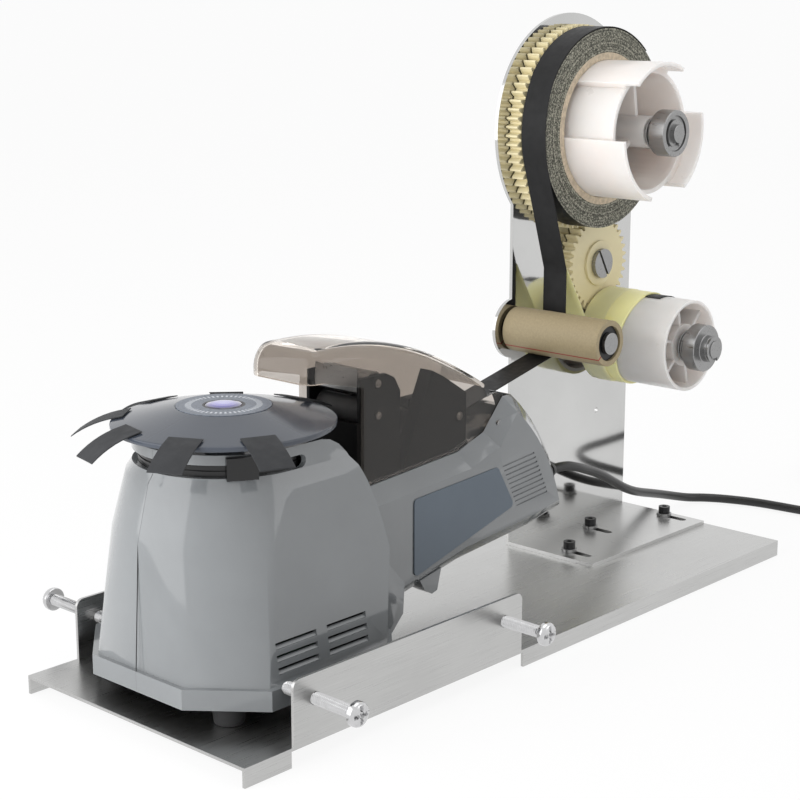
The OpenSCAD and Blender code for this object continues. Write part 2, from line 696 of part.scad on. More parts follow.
// Black U frame with the tape mouth in its front, a bar behind the blade and two pairs of bores
module frame_side() difference() {
    polygon([
        [frame_x, deck(frame_x)], [frame_x, frame_top],
        [feed_p.x + 6, frame_top], [feed_p.x + 12, frame_top - 3],
        [frame_x1, frame_top - 10], [frame_x1, deck(frame_x1)]
    ]);
    translate(feed_p) circle(feed_shaft_r + run_gap);
    translate(pinch_p) circle(pinch_shaft_r + run_gap);
}
module feed_frame() color([0.07, 0.07, 0.08]) at_machine() {
    for (m = [0, 1]) mirror([0, m, 0]) plate_xz(-frame_w, 2 - frame_w) frame_side();
    plate_xz(-frame_w, frame_w)
        polygon([
            [frame_x - 2, deck(frame_x - 2)], [frame_x, deck(frame_x)],
            [frame_x, feed_p.y - 2], [frame_x - 2, feed_p.y - 2]
        ]);
    plate_xz(-frame_w, frame_w) polygon([
        [frame_x, deck(frame_x)], [frame_x1, deck(frame_x1)], [frame_x1, deck(frame_x1) + 2],
        [frame_x, deck(frame_x) + 2]
    ]);
    translate([blade_x + blade_t + body_gap, -frame_w, pinch_p.y - 3]) cube([2.4, 2 * frame_w, 6]);
}
module roller_with_shaft(p, r, shaft) {
    bar_y(p, r, 2.4 - frame_w, frame_w - 2.4);
    bar_y(p, shaft, -frame_w - 0.5, frame_w + 0.5);
}
module feed_roller() color([0.2, 0.2, 0.2]) at_machine() roller_with_shaft(feed_p, feed_r, feed_shaft_r);
module pinch_roller() color([0.75, 0.75, 0.72]) at_machine()
    roller_with_shaft(pinch_p, pinch_r, pinch_shaft_r);
module cutter_blade() color([0.8, 0.8, 0.82]) at_machine() plate_xz(4 - frame_w, frame_w - 4) polygon([
    [blade_x, pinch_p.y - 3.5], [blade_x + blade_t, pinch_p.y - 4.5], [blade_x + blade_t, frame_top + 4],
    [blade_x, frame_top + 4]
]);
block_x = guide_p.x - 29;
block_x1 = hinge_x - hinge_r - 2;
function nose(u) = tail_nose[0].y
    + (u - tail_nose[0].x) * (tail_nose[1].y - tail_nose[0].y) / (tail_nose[1].x - tail_nose[0].x);
module guide_block() color([0.09, 0.09, 0.1]) at_machine() difference() {
    plate_xz(-frame_w, frame_w) polygon([
        [block_x, deck(block_x)], [block_x + 6, guide_p.y + 19], [block_x + 15, guide_p.y + 17],
        [block_x1, guide_p.y + 9.5], [block_x1, nose(block_x1)], tail_nose[0]
    ]);
    translate([block_x - 5, -10, guide_p.y - guide_r - 6]) cube([60, 22, 60]);
    bar_y(guide_p, guide_r, 12 - frame_w, frame_w - 2);
}
module guide_pin() color("silver") at_machine() bar_y(guide_p, guide_r, 12 - frame_w, frame_w - 2);
feed_motor_r = 16;
feed_motor_p = [feed_p.x + feed_motor_r + 14, deck_z0 - feed_motor_r - 8];
module feed_motor() color([0.5, 0.5, 0.52]) at_machine()
    bar_y(feed_motor_p, feed_motor_r, wall - arm_w, arm_w - wall);

// Tower

foot_slot_l = 20;
foot_slot_off = -5;
foot_screw_ps = [[tower_x0 + 10.5, -6], [tower_x0 + tower_w / 2 - 1.5, 12], [tower_x1 - 7, -6]];
module tower_outline() {
    translate([tower_x0, plate_z]) square([tower_w, reel_h]);
    translate(reel_p) circle(head_r, $fn = 128);
    translate(roller_p) circle(ear_r);
}
module tower_bracket() color([0.8, 0.8, 0.82]) at_base() difference() {
    union() {
        plate_xz(tower_y, tower_y + tower_t) tower_outline();
        translate([tower_x0, tower_y + tower_t - foot_l, plate_z]) cube([tower_w, foot_l, tower_t]);
    }
    for (p = foot_screw_ps) for (s = [-1, 1]) translate([p.x, p.y + foot_slot_off, plate_z - 1]) {
        translate([0, s * (foot_slot_l - foot_screw_d) / 2, 0])
            cylinder(d = foot_screw_d + 0.6, h = tower_t + 2);
        translate([-foot_screw_d / 2 - 0.3, -foot_slot_l / 2 + 2, 0])
            cube([foot_screw_d + 0.6, foot_slot_l - 4, tower_t + 2]);
    }
    for (p = [reel_p, rewind_p]) bar_y(p, stud_r, tower_y - 1, tower_y + tower_t + 1);
    bar_y(idler_p, idler_r, tower_y - 1, tower_y + tower_t + 1);
    bar_y(roller_p, bolt_r, tower_y - 1, tower_y + tower_t + 1);
    bar_y([tower_x0 + 82, plate_z + 66], 1.6, tower_y - 1, tower_y + tower_t + 1);
}
washer_t = 1.8;
foot_head_r = 3.4;
module foot_screws() color([0.1, 0.1, 0.1]) at_base() for (p = foot_screw_ps)
    translate([p.x, p.y, plate_z + tower_t + washer_t]) difference() {
        union() {
            translate([0, 0, -tower_t - washer_t - sheet_t - 3])
                cylinder(d = foot_screw_d, h = tower_t + washer_t + sheet_t + 3);
            cylinder(r = foot_head_r, h = foot_screw_d);
        }
        translate([0, 0, foot_screw_d - 2]) cylinder(r = 1.7, h = 3, $fn = 6);
    }
module foot_washers() color("silver") at_base() for (p = foot_screw_ps)
    translate([p.x, p.y, plate_z + tower_t]) difference() {
        cylinder(d = 2.2 * foot_screw_d, h = washer_t);
        translate([0, 0, -1]) cylinder(d = foot_screw_d + 0.2, h = washer_t + 2);
    }

// Spur gear with involute flanks, a tooth centred on the given angle
pressure_a = 20;
function inv(a) = tan(a) - a * PI / 180;
function flank(z, r) = let (rp = z * gear_m / 2, rb = rp * cos(pressure_a))
    ((PI * gear_m / 2 - backlash / 2) / 2 / rp + inv(pressure_a) - inv(acos(min(1, rb / r)))) * 180 / PI;
module gear_outline(z, turn) {
    rp = z * gear_m / 2;
    rs = [rp - 1.25 * gear_m, rp - 0.6 * gear_m, rp, rp + gear_m];
    polygon([for (k = [0:z - 1]) each concat(
        [for (r = rs) polar(turn + 360 * k / z - flank(z, r), r)],
        [for (i = [3:-1:0]) polar(turn + 360 * k / z + flank(z, rs[i]), rs[i])]
    )]);
}
module gear(p, z, turn, bore) difference() {
    translate([p.x, 0, p.y]) plate_xz(gear_y0, gear_y1) gear_outline(z, turn);
    bar_y(p, bore, gear_y0 - 5, gear_y1 + 1);
}
// Turn angles that put a gap of one gear opposite a tooth of the one before
idler_turn = idler_a + 180 + 180 / idler_teeth;
tooth_off = rewind_a - idler_turn - 360 / idler_teeth * round((rewind_a - idler_turn) * idler_teeth / 360);
rewind_turn = rewind_a + 180 + 180 / rewind_teeth + tooth_off * idler_teeth / rewind_teeth;

// Fixed stud: shoulder in the tower with a nut behind, threaded end with a clip groove
module stud(p, shoulder_y, end_y) {
    bar_y(p, stud_r, shoulder_y, tower_y + tower_t);
    bar_y(p, thread_r, end_y, shoulder_y);
    translate([p.x, tower_y + tower_t + 5, p.y]) rotate([90, 0, 0]) cylinder(r = stud_r + 3, h = 5, $fn = 6);
}
// Open retaining ring
module clip(p, y0) plate_xz(y0, y0 + 1) translate(p) difference() {
    circle(thread_r + 2.5);
    circle(thread_r);
    translate([-thread_r * 0.6, -thread_r - 4]) square([thread_r * 1.2, thread_r + 2]);
}
// Helical spring along Y between two faces
spring_r = stud_r + 2.5;
function spring_line(p, y0, y1, curls) = let (h = y1 - y0 - wire_d) [
    for (i = [0:8 * curls]) let (a = 45 * i, y = y0 + wire_d / 2 + h * i / (8 * curls))
        [p.x + spring_r * cos(a), y, p.y + spring_r * sin(a)]
];
module spring(p, y0, y1, curls) {
    line = spring_line(p, y0, y1, curls);
    echo(spring_gap = least_gap(line, 6, wire_d));
    tube(line, wire_d / 2, 6, [0, 1, 0]);
}

// Reel

reel_end = knob_y - knob_l;
module reel_stud() color("silver") at_base() stud(reel_p, boss_y, reel_end - 2);
module reel_gear() color([0.9, 0.87, 0.7]) at_base() gear(reel_p, reel_teeth, idler_a, stud_r + run_gap);
pad_n = 3;
pad_span = 70;
pad_turn = 99;
rib_t = 2.2;
boss_r = stud_r + 2.6;
barrel_y = gear_y0 - barrel_l;
pad_y = barrel_y - pad_over;
pad_t = 2.2;
module reel_hub() color([0.93, 0.9, 0.89]) at_base() difference() {
    union() {
        difference() {
            bar_y(reel_p, barrel_r, barrel_y, gear_y0);
            bar_y(reel_p, barrel_r - 2.4, barrel_y - 1, gear_y0 - 2.4);
        }
        bar_y(reel_p, boss_r, boss_y, gear_y0 - 1);
        translate([reel_p.x, 0, reel_p.y])
            for (k = [0:pad_n - 1]) rotate([0, -pad_turn - k * 360 / pad_n, 0]) {
                plate_xz(pad_y, gear_y0 - 0.5) pad_outline();
                translate([boss_r - 1, barrel_y + 8, -rib_t / 2])
                    cube([barrel_r - boss_r, gear_y0 - barrel_y - 9.2, rib_t]);
            }
    }
    bar_y(reel_p, stud_r + run_gap, boss_y - 1, gear_y0 + 1);
    ring_y(reel_p, pad_r - pad_t, barrel_r - 3, pad_y - 1, barrel_y);
}
module pad_outline() rotate(-pad_span / 2) polygon(concat(
    [for (i = [0:10]) polar(pad_span * i / 10, pad_r)],
    [for (i = [10:-1:0]) polar(pad_span * i / 10, barrel_r - 1)]
));
roll_y0 = tape_y - tape_w / 2;
roll_y1 = tape_y + tape_w / 2;
module tape_core() color([0.78, 0.66, 0.53]) at_base() ring_y(reel_p, core_r, pad_r + 0.1, roll_y0, roll_y1);
module tape_roll() color([0.25, 0.26, 0.24]) at_base() ring_y(reel_p, roll_r, core_r, roll_y0, roll_y1);
module reel_spring() color([0.3, 0.3, 0.3]) at_base()
    spring(reel_p, knob_y + body_gap, boss_y - body_gap, reel_curls);
module reel_knob() color([0.55, 0.55, 0.55]) at_base() difference() {
    bar_y(reel_p, knob_r, reel_end, knob_y);
    bar_y(reel_p, thread_r + run_gap, reel_end - 1, knob_y + 1);
    bar_y(reel_p, thread_r + 4.5, reel_end - 1, reel_end + 1.6);
}
module reel_clip() color([0.4, 0.4, 0.4]) at_base() clip(reel_p, reel_end + 0.25);

// Idler

idler_r = 5;
idler_boss_y = gear_y0 - 1.5;
module idler_gear() color([0.9, 0.85, 0.6]) at_base() {
    gear(idler_p, idler_teeth, idler_turn, idler_r + run_gap);
    ring_y(idler_p, 2.6 * idler_r, idler_r + run_gap, idler_boss_y, gear_y0);
}
idler_head = 2.4;
module idler_screw() color([0.75, 0.73, 0.68]) at_base() difference() {
    union() {
        bar_y(idler_p, idler_r, idler_boss_y - body_gap, tower_y + tower_t);
        bar_y(idler_p, 1.7 * idler_r, idler_boss_y - body_gap - idler_head, idler_boss_y - body_gap);
    }
    translate([idler_p.x, idler_boss_y - 4.4, idler_p.y]) rotate([0, 60, 0]) cube([20, 6, 1.6], center = true);
}

// Rewind

module rewind_stud() color("silver") at_base() stud(rewind_p, sleeve_y, clutch_end - 2);
module rewind_gear() color([0.9, 0.85, 0.6]) at_base()
    gear(rewind_p, rewind_teeth, rewind_turn, stud_r + run_gap);
spool_wall = 1.8;
sleeve_r = stud_r + 6;
spool_ribs = 6;
module rewind_spool() color([0.94, 0.91, 0.9]) at_base() difference() {
    union() {
        ring_y(rewind_p, spool_r, spool_r - spool_wall, spool_y, gear_y0 - 1);
        bar_y(rewind_p, sleeve_r, sleeve_y, gear_y0);
        translate([rewind_p.x, 0, rewind_p.y])
            for (k = [0:spool_ribs - 1]) rotate([0, 15 + k * 360 / spool_ribs, 0])
                translate([sleeve_r - 1, spool_y + 5, -0.9])
                    cube([spool_r - sleeve_r - 0.5, gear_y0 - spool_y - 6, 1.8]);
    }
    bar_y(rewind_p, stud_r + run_gap, sleeve_y - 1, gear_y0 + 1);
}
liner_y = roll_y0 - 14;
module liner_roll() color([0.95, 0.9, 0.55]) at_base() {
    ring_y(rewind_p, liner_r, spool_r, roll_y0, roll_y1);
    ring_y(rewind_p, liner_r - 0.6, spool_r, liner_y, roll_y0);
}
// Strip of tape that holds the liner's end on the spool's top
module splice_patch() color([0.12, 0.12, 0.12]) at_base() translate([rewind_p.x, 0, rewind_p.y])
    plate_xz(liner_y - 10, liner_y) rotate(62) polygon(concat(
        [for (i = [0:8]) polar(5 * i, spool_r + 0.5)], [for (i = [8:-1:0]) polar(5 * i, spool_r + 0.05)]
    ));
clutch_l = 8;
clutch_step = 4;
clutch_end = clutch_y - clutch_l - clutch_step;
module rewind_spring() color([0.3, 0.3, 0.3]) at_base()
    spring(rewind_p, clutch_y + body_gap, sleeve_y - body_gap, rewind_curls);
module rewind_knob() color([0.6, 0.6, 0.6]) at_base() difference() {
    union() {
        bar_y(rewind_p, clutch_r, clutch_y - clutch_l, clutch_y);
        bar_y(rewind_p, clutch_r * 0.56, clutch_end, clutch_y);
    }
    bar_y(rewind_p, thread_r + run_gap, clutch_end - 1, clutch_y + 1);
}
module rewind_clip() color([0.4, 0.4, 0.4]) at_base() clip(rewind_p, clutch_end - 1 - body_gap);

// Guide roller

bearing_l = 6;
bearing_in = 1.5;
bolt_head = 2.4;
module guide_roller() color([0.72, 0.63, 0.47]) at_base()
    ring_y(roller_p, roller_r, bearing_r, roller_y0, roller_y1);
module roller_bearings() color([0.55, 0.55, 0.55]) at_base()
    for (y = [roller_y0 + bearing_in, roller_y1 - bearing_in - bearing_l])
        ring_y(roller_p, bearing_r, bolt_r + run_gap, y, y + bearing_l);
head_y = roller_y0 + bearing_in - body_gap;
module roller_bolt() color([0.5, 0.5, 0.5]) at_base() {
    bar_y(roller_p, bolt_r, roller_y0 + bearing_in - body_gap, tower_y + tower_t);
    bar_y(roller_p, bolt_r + 2, roller_y1 - bearing_in + body_gap, tower_y);
    bar_y(roller_p, bolt_r + 2, head_y - bolt_head, head_y);
    translate([roller_p.x, tower_y + tower_t + 5, roller_p.y]) rotate([90, 0, 0])
        cylinder(r = bolt_r + 3, h = 5, $fn = 6);
}

// Webs: straight runs tangent to rollers, whose signed radius is positive where the web turns left

function run_a(c0, s0, c1, s1) = let (d = c1 - c0, k = s1 - s0) atan2(d.y, d.x) - asin(k / norm(d));
function left_of(a) = [-sin(a), cos(a)];
function unwrap(a, from, s) = s > 0 ? (a < from - 0.01 ? a + 360 : a) : (a > from + 0.01 ? a - 360 : a);
function wrap(c, s, a0, a1, n) = [
    for (i = [0:n]) let (a = a0 + (a1 - a0) * i / n) concat(c - s * left_of(a), a)
];
module band(line, ys, t) {
    rings = [for (i = [0:len(line) - 1]) let (p = [line[i][0], line[i][1]], n = left_of(line[i][2]) * t / 2)
        each [[p.x + n.x, ys[i] - tape_w / 2, p.y + n.y], [p.x + n.x, ys[i] + tape_w / 2, p.y + n.y],
              [p.x - n.x, ys[i] + tape_w / 2, p.y - n.y], [p.x - n.x, ys[i] - tape_w / 2, p.y - n.y]]];
    last = 4 * (len(line) - 1);
    polyhedron(rings, concat(
        [[0, 2, 1], [0, 3, 2], [last, last + 1, last + 2], [last, last + 2, last + 3]],
        [
            for (i = [0:len(line) - 2], k = [0:3])
                let (a = 4 * i + k, b = 4 * i + (k + 1) % 4) [a, b + 4, a + 4]
        ],
        [for (i = [0:len(line) - 2], k = [0:3]) let (a = 4 * i + k, b = 4 * i + (k + 1) % 4) [a, b, b + 4]]
    ));
}
web = tape_t / 2 + body_gap;
machine_o = [drum_x, pan_z];
feed_c = machine_o + feed_p;
guide_c = machine_o + guide_p;
peel_p = [roller_p.x + roller_r + web, roller_p.y + 34];
tape_end = [machine_o.x + blade_x + blade_t + 1, feed_c.y + feed_r + web];
peel_a = run_a(reel_p, roll_r + web, peel_p, 0);
down_a = -90;
in_a = run_a(roller_p, -roller_r - web, guide_c, -guide_r - web);
rise_a = unwrap(run_a(guide_c, -guide_r - web, feed_c, feed_r + web), in_a, -1);
strand = concat(
    wrap(reel_p, roll_r + web, peel_a - 12, peel_a, 3),
    [concat(peel_p, (peel_a + down_a) / 2)],
    wrap(roller_p, -roller_r - web, down_a, in_a, 6),
    wrap(guide_c, -guide_r - web, in_a, rise_a, 4),
    wrap(feed_c, feed_r + web, rise_a, -180, 3),
    [concat(tape_end, -180)]
);
// The web shifts sideways from the reel's plane to the machine's middle
function web_y(x) = tape_y * min(1, max(0, (x - guide_c.x) / (roller_p.x - guide_c.x)));
module tape_strand() color([0.1, 0.1, 0.1]) at_base() band(strand, [for (p = strand) web_y(p[0])], tape_t);

liner_p = peel_p + [web + liner_t / 2, 0];
liner_c = liner_r + liner_t / 2 + body_gap;
liner_a = run_a(liner_p, 0, rewind_p, liner_c);
liner_line = concat([concat(liner_p, liner_a)], wrap(rewind_p, liner_c, liner_a, liner_a + 30, 3));
module liner_strand() color([0.95, 0.9, 0.55]) at_base()
    band(liner_line, [for (p = liner_line) tape_y], liner_t);

// Mains lead: tapered relief, free run, coil with its tie, and plug

cord_d = 5.4;
relief_r = 6.5;
relief_x = tail_x(cord_z - relief_r) - 4.8;
coil_in = 22;
coil_step = 6.9;
coil_rise = 6;
coil_turns = 3;
coil_z = 3.8;
coil_r = coil_in + coil_step * (coil_turns - 0.25);
coil_c = [400, -43];
function coil_layer(d) = coil_rise * min(1, max(0, d * 2 + 0.5));
function coil_point(s) =
    let (d = s - coil_turns, a = 270 + 360 * s, r = coil_in + coil_step * max(0, abs(d) - 0.25))
    [coil_c.x + r * cos(a), coil_c.y + r * sin(a), coil_z + coil_layer(d)];
coil_n = 24 * 2 * coil_turns;
coil_end = coil_point(2 * coil_turns);
plug_p = coil_end + [32, 0, -1.6];
coil_lead = coil_point(0) - [cord_d, 0, 0];
coil_line = concat([coil_lead], [for (i = [0:coil_n]) coil_point(i / 24)], [plug_p - [8, 0, 0], plug_p]);
cord_route = [
    [100, 0, 60], [106, 0, 60], [115, 0.3, 58.9], [125, 1, 56], [136, 3, 52], [149, 5, 47], [161, 7, 41.5],
    [173, 9, 35.5],
    [185, 11, 29.5], [197, 13, 24.5], [209, 15, 20.5], [221, 17, 17], [233, 19, 13.5], [245, 20, 10],
    [257, 20, 6.5], [267, 18, 4], [276, 12.5, 3], [282, 4, 2.8], [287, -8, 2.8], [290.5, -20, 2.8],
    [292.5, -33, 2.8], [294, -46, 2.8], [296.7, -58, 2.8], [302, -69, 2.8], [310, -77.5, 2.8],
    [321, -83, 2.8], [334, -85, 2.8], [348, -84.6, 3], [363, -84.2, 3.4], [379, -84, 3.8], coil_lead
];
relief_l = cord_route[0].x + mid_x - drum_x - relief_x;
module cord() color([0.05, 0.05, 0.05]) tube(cord_route, cord_d / 2, 8, [0, 0, 1]);

module cord_coil() color([0.05, 0.05, 0.05]) {
    echo(coil_gap = least_gap(coil_line, 12, cord_d));
    tube(coil_line, cord_d / 2, 6, [0, 0, 1]);
}
// Strain relief on the tail, tie round the coil and the plug on its end
tie_t = 0.8;
module cord_end() color([0.08, 0.08, 0.08]) {
    at_machine() translate([relief_x, 0, cord_z]) rotate([0, 90, 0]) {
        cylinder(r = relief_r - 1.5, h = 5);
        translate([0, 0, 5]) cylinder(r1 = relief_r, r2 = cord_d / 2 + 0.8, h = relief_l - 5);
    }
    translate([coil_c.x - 4, coil_c.y + coil_in - 4, 0]) difference() {
        cube([8, coil_r - coil_in + 8.5, coil_z + coil_rise + cord_d / 2 + 1.6]);
        translate([-1, tie_t, tie_t]) cube([
            10, coil_r - coil_in + 8.5 - 2 * tie_t, coil_z + coil_rise + cord_d / 2 + 1.6 - 2 * tie_t
        ]);
    }
    translate(plug_p) rotate([-90, 0, -90]) {
        cylinder(r1 = cord_d / 2 + 0.8, r2 = 6, h = 14);
        translate([0, 0, 14]) hull() for (x = [-9, 9]) translate([x, 0, 0]) cylinder(r = 8, h = 22, $fn = 32);
        for (x = [-9.5, 9.5]) translate([x, 0, 36]) cylinder(d = 4, h = 19);
    }
}

base_plate();
clamp_screw_near_front();
clamp_screw_near_rear();
clamp_screw_far_front();
clamp_screw_far_rear();
body_shell_near();
body_shell_far();
bottom_pan();
rubber_feet();
control_board();
carousel_motor();
shaft_bush();
slot_lining();
tape_sensor();
side_panels();
switch_body();
switch_rocker();
carousel_disc();
ring_insert();
lens_cap();
carousel_shaft();
tape_pieces();
smoked_cover();
hinge_pins();
feed_frame();
feed_roller();
pinch_roller();
cutter_blade();
guide_block();
guide_pin();
feed_motor();
tower_bracket();
foot_screws();
foot_washers();
reel_stud();
reel_gear();
reel_hub();
tape_core();
tape_roll();
reel_spring();
reel_knob();
reel_clip();
idler_gear();
idler_screw();
rewind_stud();
rewind_gear();
rewind_spool();
liner_roll();
splice_patch();
rewind_spring();
rewind_knob();
rewind_clip();
guide_roller();
roller_bearings();
roller_bolt();
tape_strand();
liner_strand();
cord();
cord_coil();
cord_end();
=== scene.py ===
import json
import math

import bmesh
import bpy
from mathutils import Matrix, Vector

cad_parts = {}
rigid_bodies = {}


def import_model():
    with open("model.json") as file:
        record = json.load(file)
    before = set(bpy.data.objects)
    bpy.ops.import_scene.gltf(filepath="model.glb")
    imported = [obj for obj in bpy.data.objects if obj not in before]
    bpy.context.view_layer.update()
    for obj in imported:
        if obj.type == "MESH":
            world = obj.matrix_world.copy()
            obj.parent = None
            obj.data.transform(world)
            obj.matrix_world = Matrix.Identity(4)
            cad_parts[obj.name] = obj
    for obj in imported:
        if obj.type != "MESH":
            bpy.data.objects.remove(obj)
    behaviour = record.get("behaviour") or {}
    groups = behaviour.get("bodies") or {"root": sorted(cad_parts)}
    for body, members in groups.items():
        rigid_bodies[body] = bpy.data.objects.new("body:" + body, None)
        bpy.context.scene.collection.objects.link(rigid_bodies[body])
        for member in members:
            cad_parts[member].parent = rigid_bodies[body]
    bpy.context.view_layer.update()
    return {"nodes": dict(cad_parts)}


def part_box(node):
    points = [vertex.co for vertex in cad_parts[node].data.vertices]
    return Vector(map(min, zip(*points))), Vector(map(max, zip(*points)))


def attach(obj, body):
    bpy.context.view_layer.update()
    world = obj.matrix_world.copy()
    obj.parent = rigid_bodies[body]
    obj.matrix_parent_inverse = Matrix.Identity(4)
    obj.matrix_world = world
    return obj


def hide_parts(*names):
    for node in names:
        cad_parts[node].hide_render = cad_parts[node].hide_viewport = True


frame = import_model()
scene = bpy.context.scene
MM = 0.001

# Places and sizes from the frame, in millimetres; x starts at the base's front edge

BASE_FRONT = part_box("base_plate")[0].x / MM


def middle_of(node):
    """Middle (x, z) of a node, and half its length along X."""
    lo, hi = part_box(node)
    return ((lo.x + hi.x) / 2 / MM - BASE_FRONT, (lo.z + hi.z) / 2 / MM), (hi.x - lo.x) / 2 / MM


def sides_of(node):
    """Near and far end of a node along Y."""
    lo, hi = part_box(node)
    return lo.y / MM, hi.y / MM


(DRUM_X, _), LENS_R = middle_of("lens_cap")
PAN_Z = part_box("bottom_pan")[0].z / MM
REEL, ROLL_R = middle_of("tape_roll")
CORE_R = middle_of("tape_core")[1]
REWIND, LINER_R = middle_of("liner_roll")
ROLLER, ROLLER_R = middle_of("guide_roller")
TAPE_NEAR, TAPE_FAR = sides_of("tape_roll")
TAPE_Y, TAPE_W = (TAPE_NEAR + TAPE_FAR) / 2, TAPE_FAR - TAPE_NEAR

# Places and sizes that the frame's boxes don't give; u starts at the drum's axis and w at the pan

TAPE_T, LINER_T = 0.5, 0.3
FEED, FEED_R = (82.0, 105.0), 9.0
GUIDE, GUIDE_R = (142.0, 94.0), 4.0


def base(x, y, z):
    """Point in the frame from a place on the base."""
    return Vector(((x + BASE_FRONT) * MM, y * MM, z * MM))


def machine(u, v, w):
    """Point in the frame from a place on the machine."""
    return base(u + DRUM_X, v, w + PAN_Z)


# Camera at the photo's place

cam_data = bpy.data.cameras.new("camera")
cam_data.lens, cam_data.sensor_width = 79.46, 36
cam_data.clip_end = 200
cam = bpy.data.objects.new("camera", cam_data)
cam.location = (-0.66024, -0.5853, 0.324)
cam.rotation_mode = "QUATERNION"
cam.rotation_quaternion = Vector((0.7156, 0.6601, -0.2283)).to_track_quat("-Z", "Y")
scene.collection.objects.link(cam)
scene.camera = cam


# Materials: one Principled shader each, fed by textures in the part's own frame


def lin(rgb):
    """Linear colour of an 8-bit display colour."""
    return tuple(v / 3294.6 if v <= 10 else ((v / 255 + 0.055) / 1.055) ** 2.4 for v in rgb)


class Shade:
    """A Principled material, with short ways to feed its sockets."""

    def __init__(self, name, rgb, rough, metal=0.0, **more):
        self.mat = bpy.data.materials.new(name)
        self.mat.use_nodes = True
        self.tree = self.mat.node_tree
        self.bsdf = self.tree.nodes["Principled BSDF"]
        self.rgb = lin(rgb)
        self.put("Base Color", (*self.rgb, 1))
        self.put("Roughness", rough)
        self.put("Metallic", metal)
        for key, value in more.items():
            self.put(key.replace("_", " ").title().replace("Ior", "IOR"), value)

    def feed(self, socket, value):
        """Link an output to the socket, or set a plain value on it."""
        if isinstance(value, bpy.types.NodeSocket):
            self.tree.links.new(value, socket)
        else:
            socket.default_value = value

    def put(self, socket, value):
        self.feed(self.bsdf.inputs[socket], value)

    def node(self, kind, **inputs):
        n = self.tree.nodes.new("ShaderNode" + kind)
        for key, value in inputs.items():
            self.feed(n.inputs[key.replace("_", " ")], value)
        return n

    def place(self, scale=(1, 1, 1), shift=(0, 0, 0)):
        coord = self.tree.nodes.new("ShaderNodeTexCoord")
        n = self.node("Mapping", Scale=scale, Location=shift, Vector=coord.outputs["Object"])
        return n.outputs["Vector"]

    def noise(self, scale, detail=3.0, stretch=(1, 1, 1), rough=0.55):
        n = self.node("TexNoise", Scale=scale, Detail=detail, Roughness=rough, Vector=self.place(stretch))
        return n.outputs["Fac"]

    def cells(self, scale, stretch=(1, 1, 1)):
        return self.node("TexVoronoi", Scale=scale, Vector=self.place(stretch)).outputs["Distance"]

    def math(self, op, a, b=0.0):
        n = self.tree.nodes.new("ShaderNodeMath")
        n.operation = op
        for socket, value in zip(n.inputs, (a, b)):
            self.feed(socket, value)
        return n.outputs[0]

    def weigh(self, a, b, share):
        """Sum of two values, of which the first one has this share."""
        return self.math("ADD", self.math("MULTIPLY", a, share), self.math("MULTIPLY", b, 1 - share))

    def length(self, vector):
        n = self.tree.nodes.new("ShaderNodeVectorMath")
        n.operation = "LENGTH"
        self.feed(n.inputs[0], vector)
        return n.outputs["Value"]

    def span(self, fac, lo, hi, to_lo=0.0, to_hi=1.0):
        """The factor from one range, brought to another and held inside it."""
        n = self.node("MapRange", Value=fac, From_Min=lo, From_Max=hi, To_Min=to_lo, To_Max=to_hi)
        return n.outputs[0]

    def ramp(self, fac, *stops):
        n = self.node("ValToRGB", Fac=fac)
        e = n.color_ramp.elements
        while len(e) < len(stops):
            e.new(0.5)
        for slot, (at, colour) in zip(e, stops):
            slot.position, slot.color = at, (*colour, 1)
        return n.outputs["Color"]

    def colour(self, output):
        self.put("Base Color", output)
        return self

    def vary(self, fac, dark, light, lo=0.35, hi=0.65):
        """Own colour, made darker and lighter by a texture."""
        low, high = (tuple(min(1, c * k) for c in self.rgb) for k in (dark, light))
        return self.colour(self.ramp(fac, (lo, low), (hi, high)))

    def blend(self, fac, rgb):
        """Another colour over the present one, where the factor is 1."""
        n = self.tree.nodes.new("ShaderNodeMix")
        n.data_type = "RGBA"
        under, over = (s for s in n.inputs if s.type == "RGBA")
        self.feed(n.inputs[0], fac)
        self.feed(under, self.bsdf.inputs["Base Color"].links[0].from_socket)
        self.feed(over, (*lin(rgb), 1))
        return self.colour(next(s for s in n.outputs if s.type == "RGBA"))

    def gloss(self, fac, lo, hi):
        self.put("Roughness", self.span(fac, 0.3, 0.7, lo, hi))
        return self

    def bump(self, height, strength, depth):
        self.put("Normal", self.node("Bump", Height=height, Strength=strength, Distance=depth).outputs[0])
        return self

    def scatter(self, weight, radius, scale):
        """Light that enters the material and leaves it beside."""
        self.put("Subsurface Weight", weight)
        self.put("Subsurface Radius", radius)
        self.put("Subsurface Scale", scale)
        return self


def plastic(name, rgb, rough, grain=3000, depth=0.00002, coat=0.0):
    s = Shade(name, rgb, rough, coat_weight=coat, coat_roughness=0.04)
    s.vary(s.noise(25, 5), 0.96, 1.04)
    s.gloss(s.noise(60, 4), rough * 0.9, rough * 1.12)
    return s.bump(s.noise(grain, 2), 0.12, depth)


def brushed(name, rgb, rough, along=(30, 1800, 1800), depth=0.00002, metal=1.0):
    s = Shade(name, rgb, rough, metal)
    lines = s.noise(1.0, 4, along, 0.6)
    s.vary(s.weigh(lines, s.noise(14, 4), 0.6), 0.9, 1.08)
    s.gloss(lines, rough * 0.85, rough * 1.2)
    return s.bump(lines, 0.1, depth)


def tape(name, rgb, rough, shine, spread, low, high):
    s = Shade(name, rgb, rough, specular_ior_level=shine)
    s.vary(s.noise(70, 4), 1 - spread, 1 + spread)
    s.gloss(s.noise(220, 4), low, high)
    return s.bump(s.noise(1800, 3), 0.2, 0.00004)


def from_axis_y(shade, centre):
    """Way from an axis along Y, flat in XZ."""
    at = base(centre[0], 0, centre[1])
    return shade.place((1, 0, 1), (-at.x, 0, -at.z))


def from_axis_z(shade, at):
    """Way from an upright axis, flat in XY."""
    return shade.place((1, 1, 0), (-at.x, -at.y, 0))


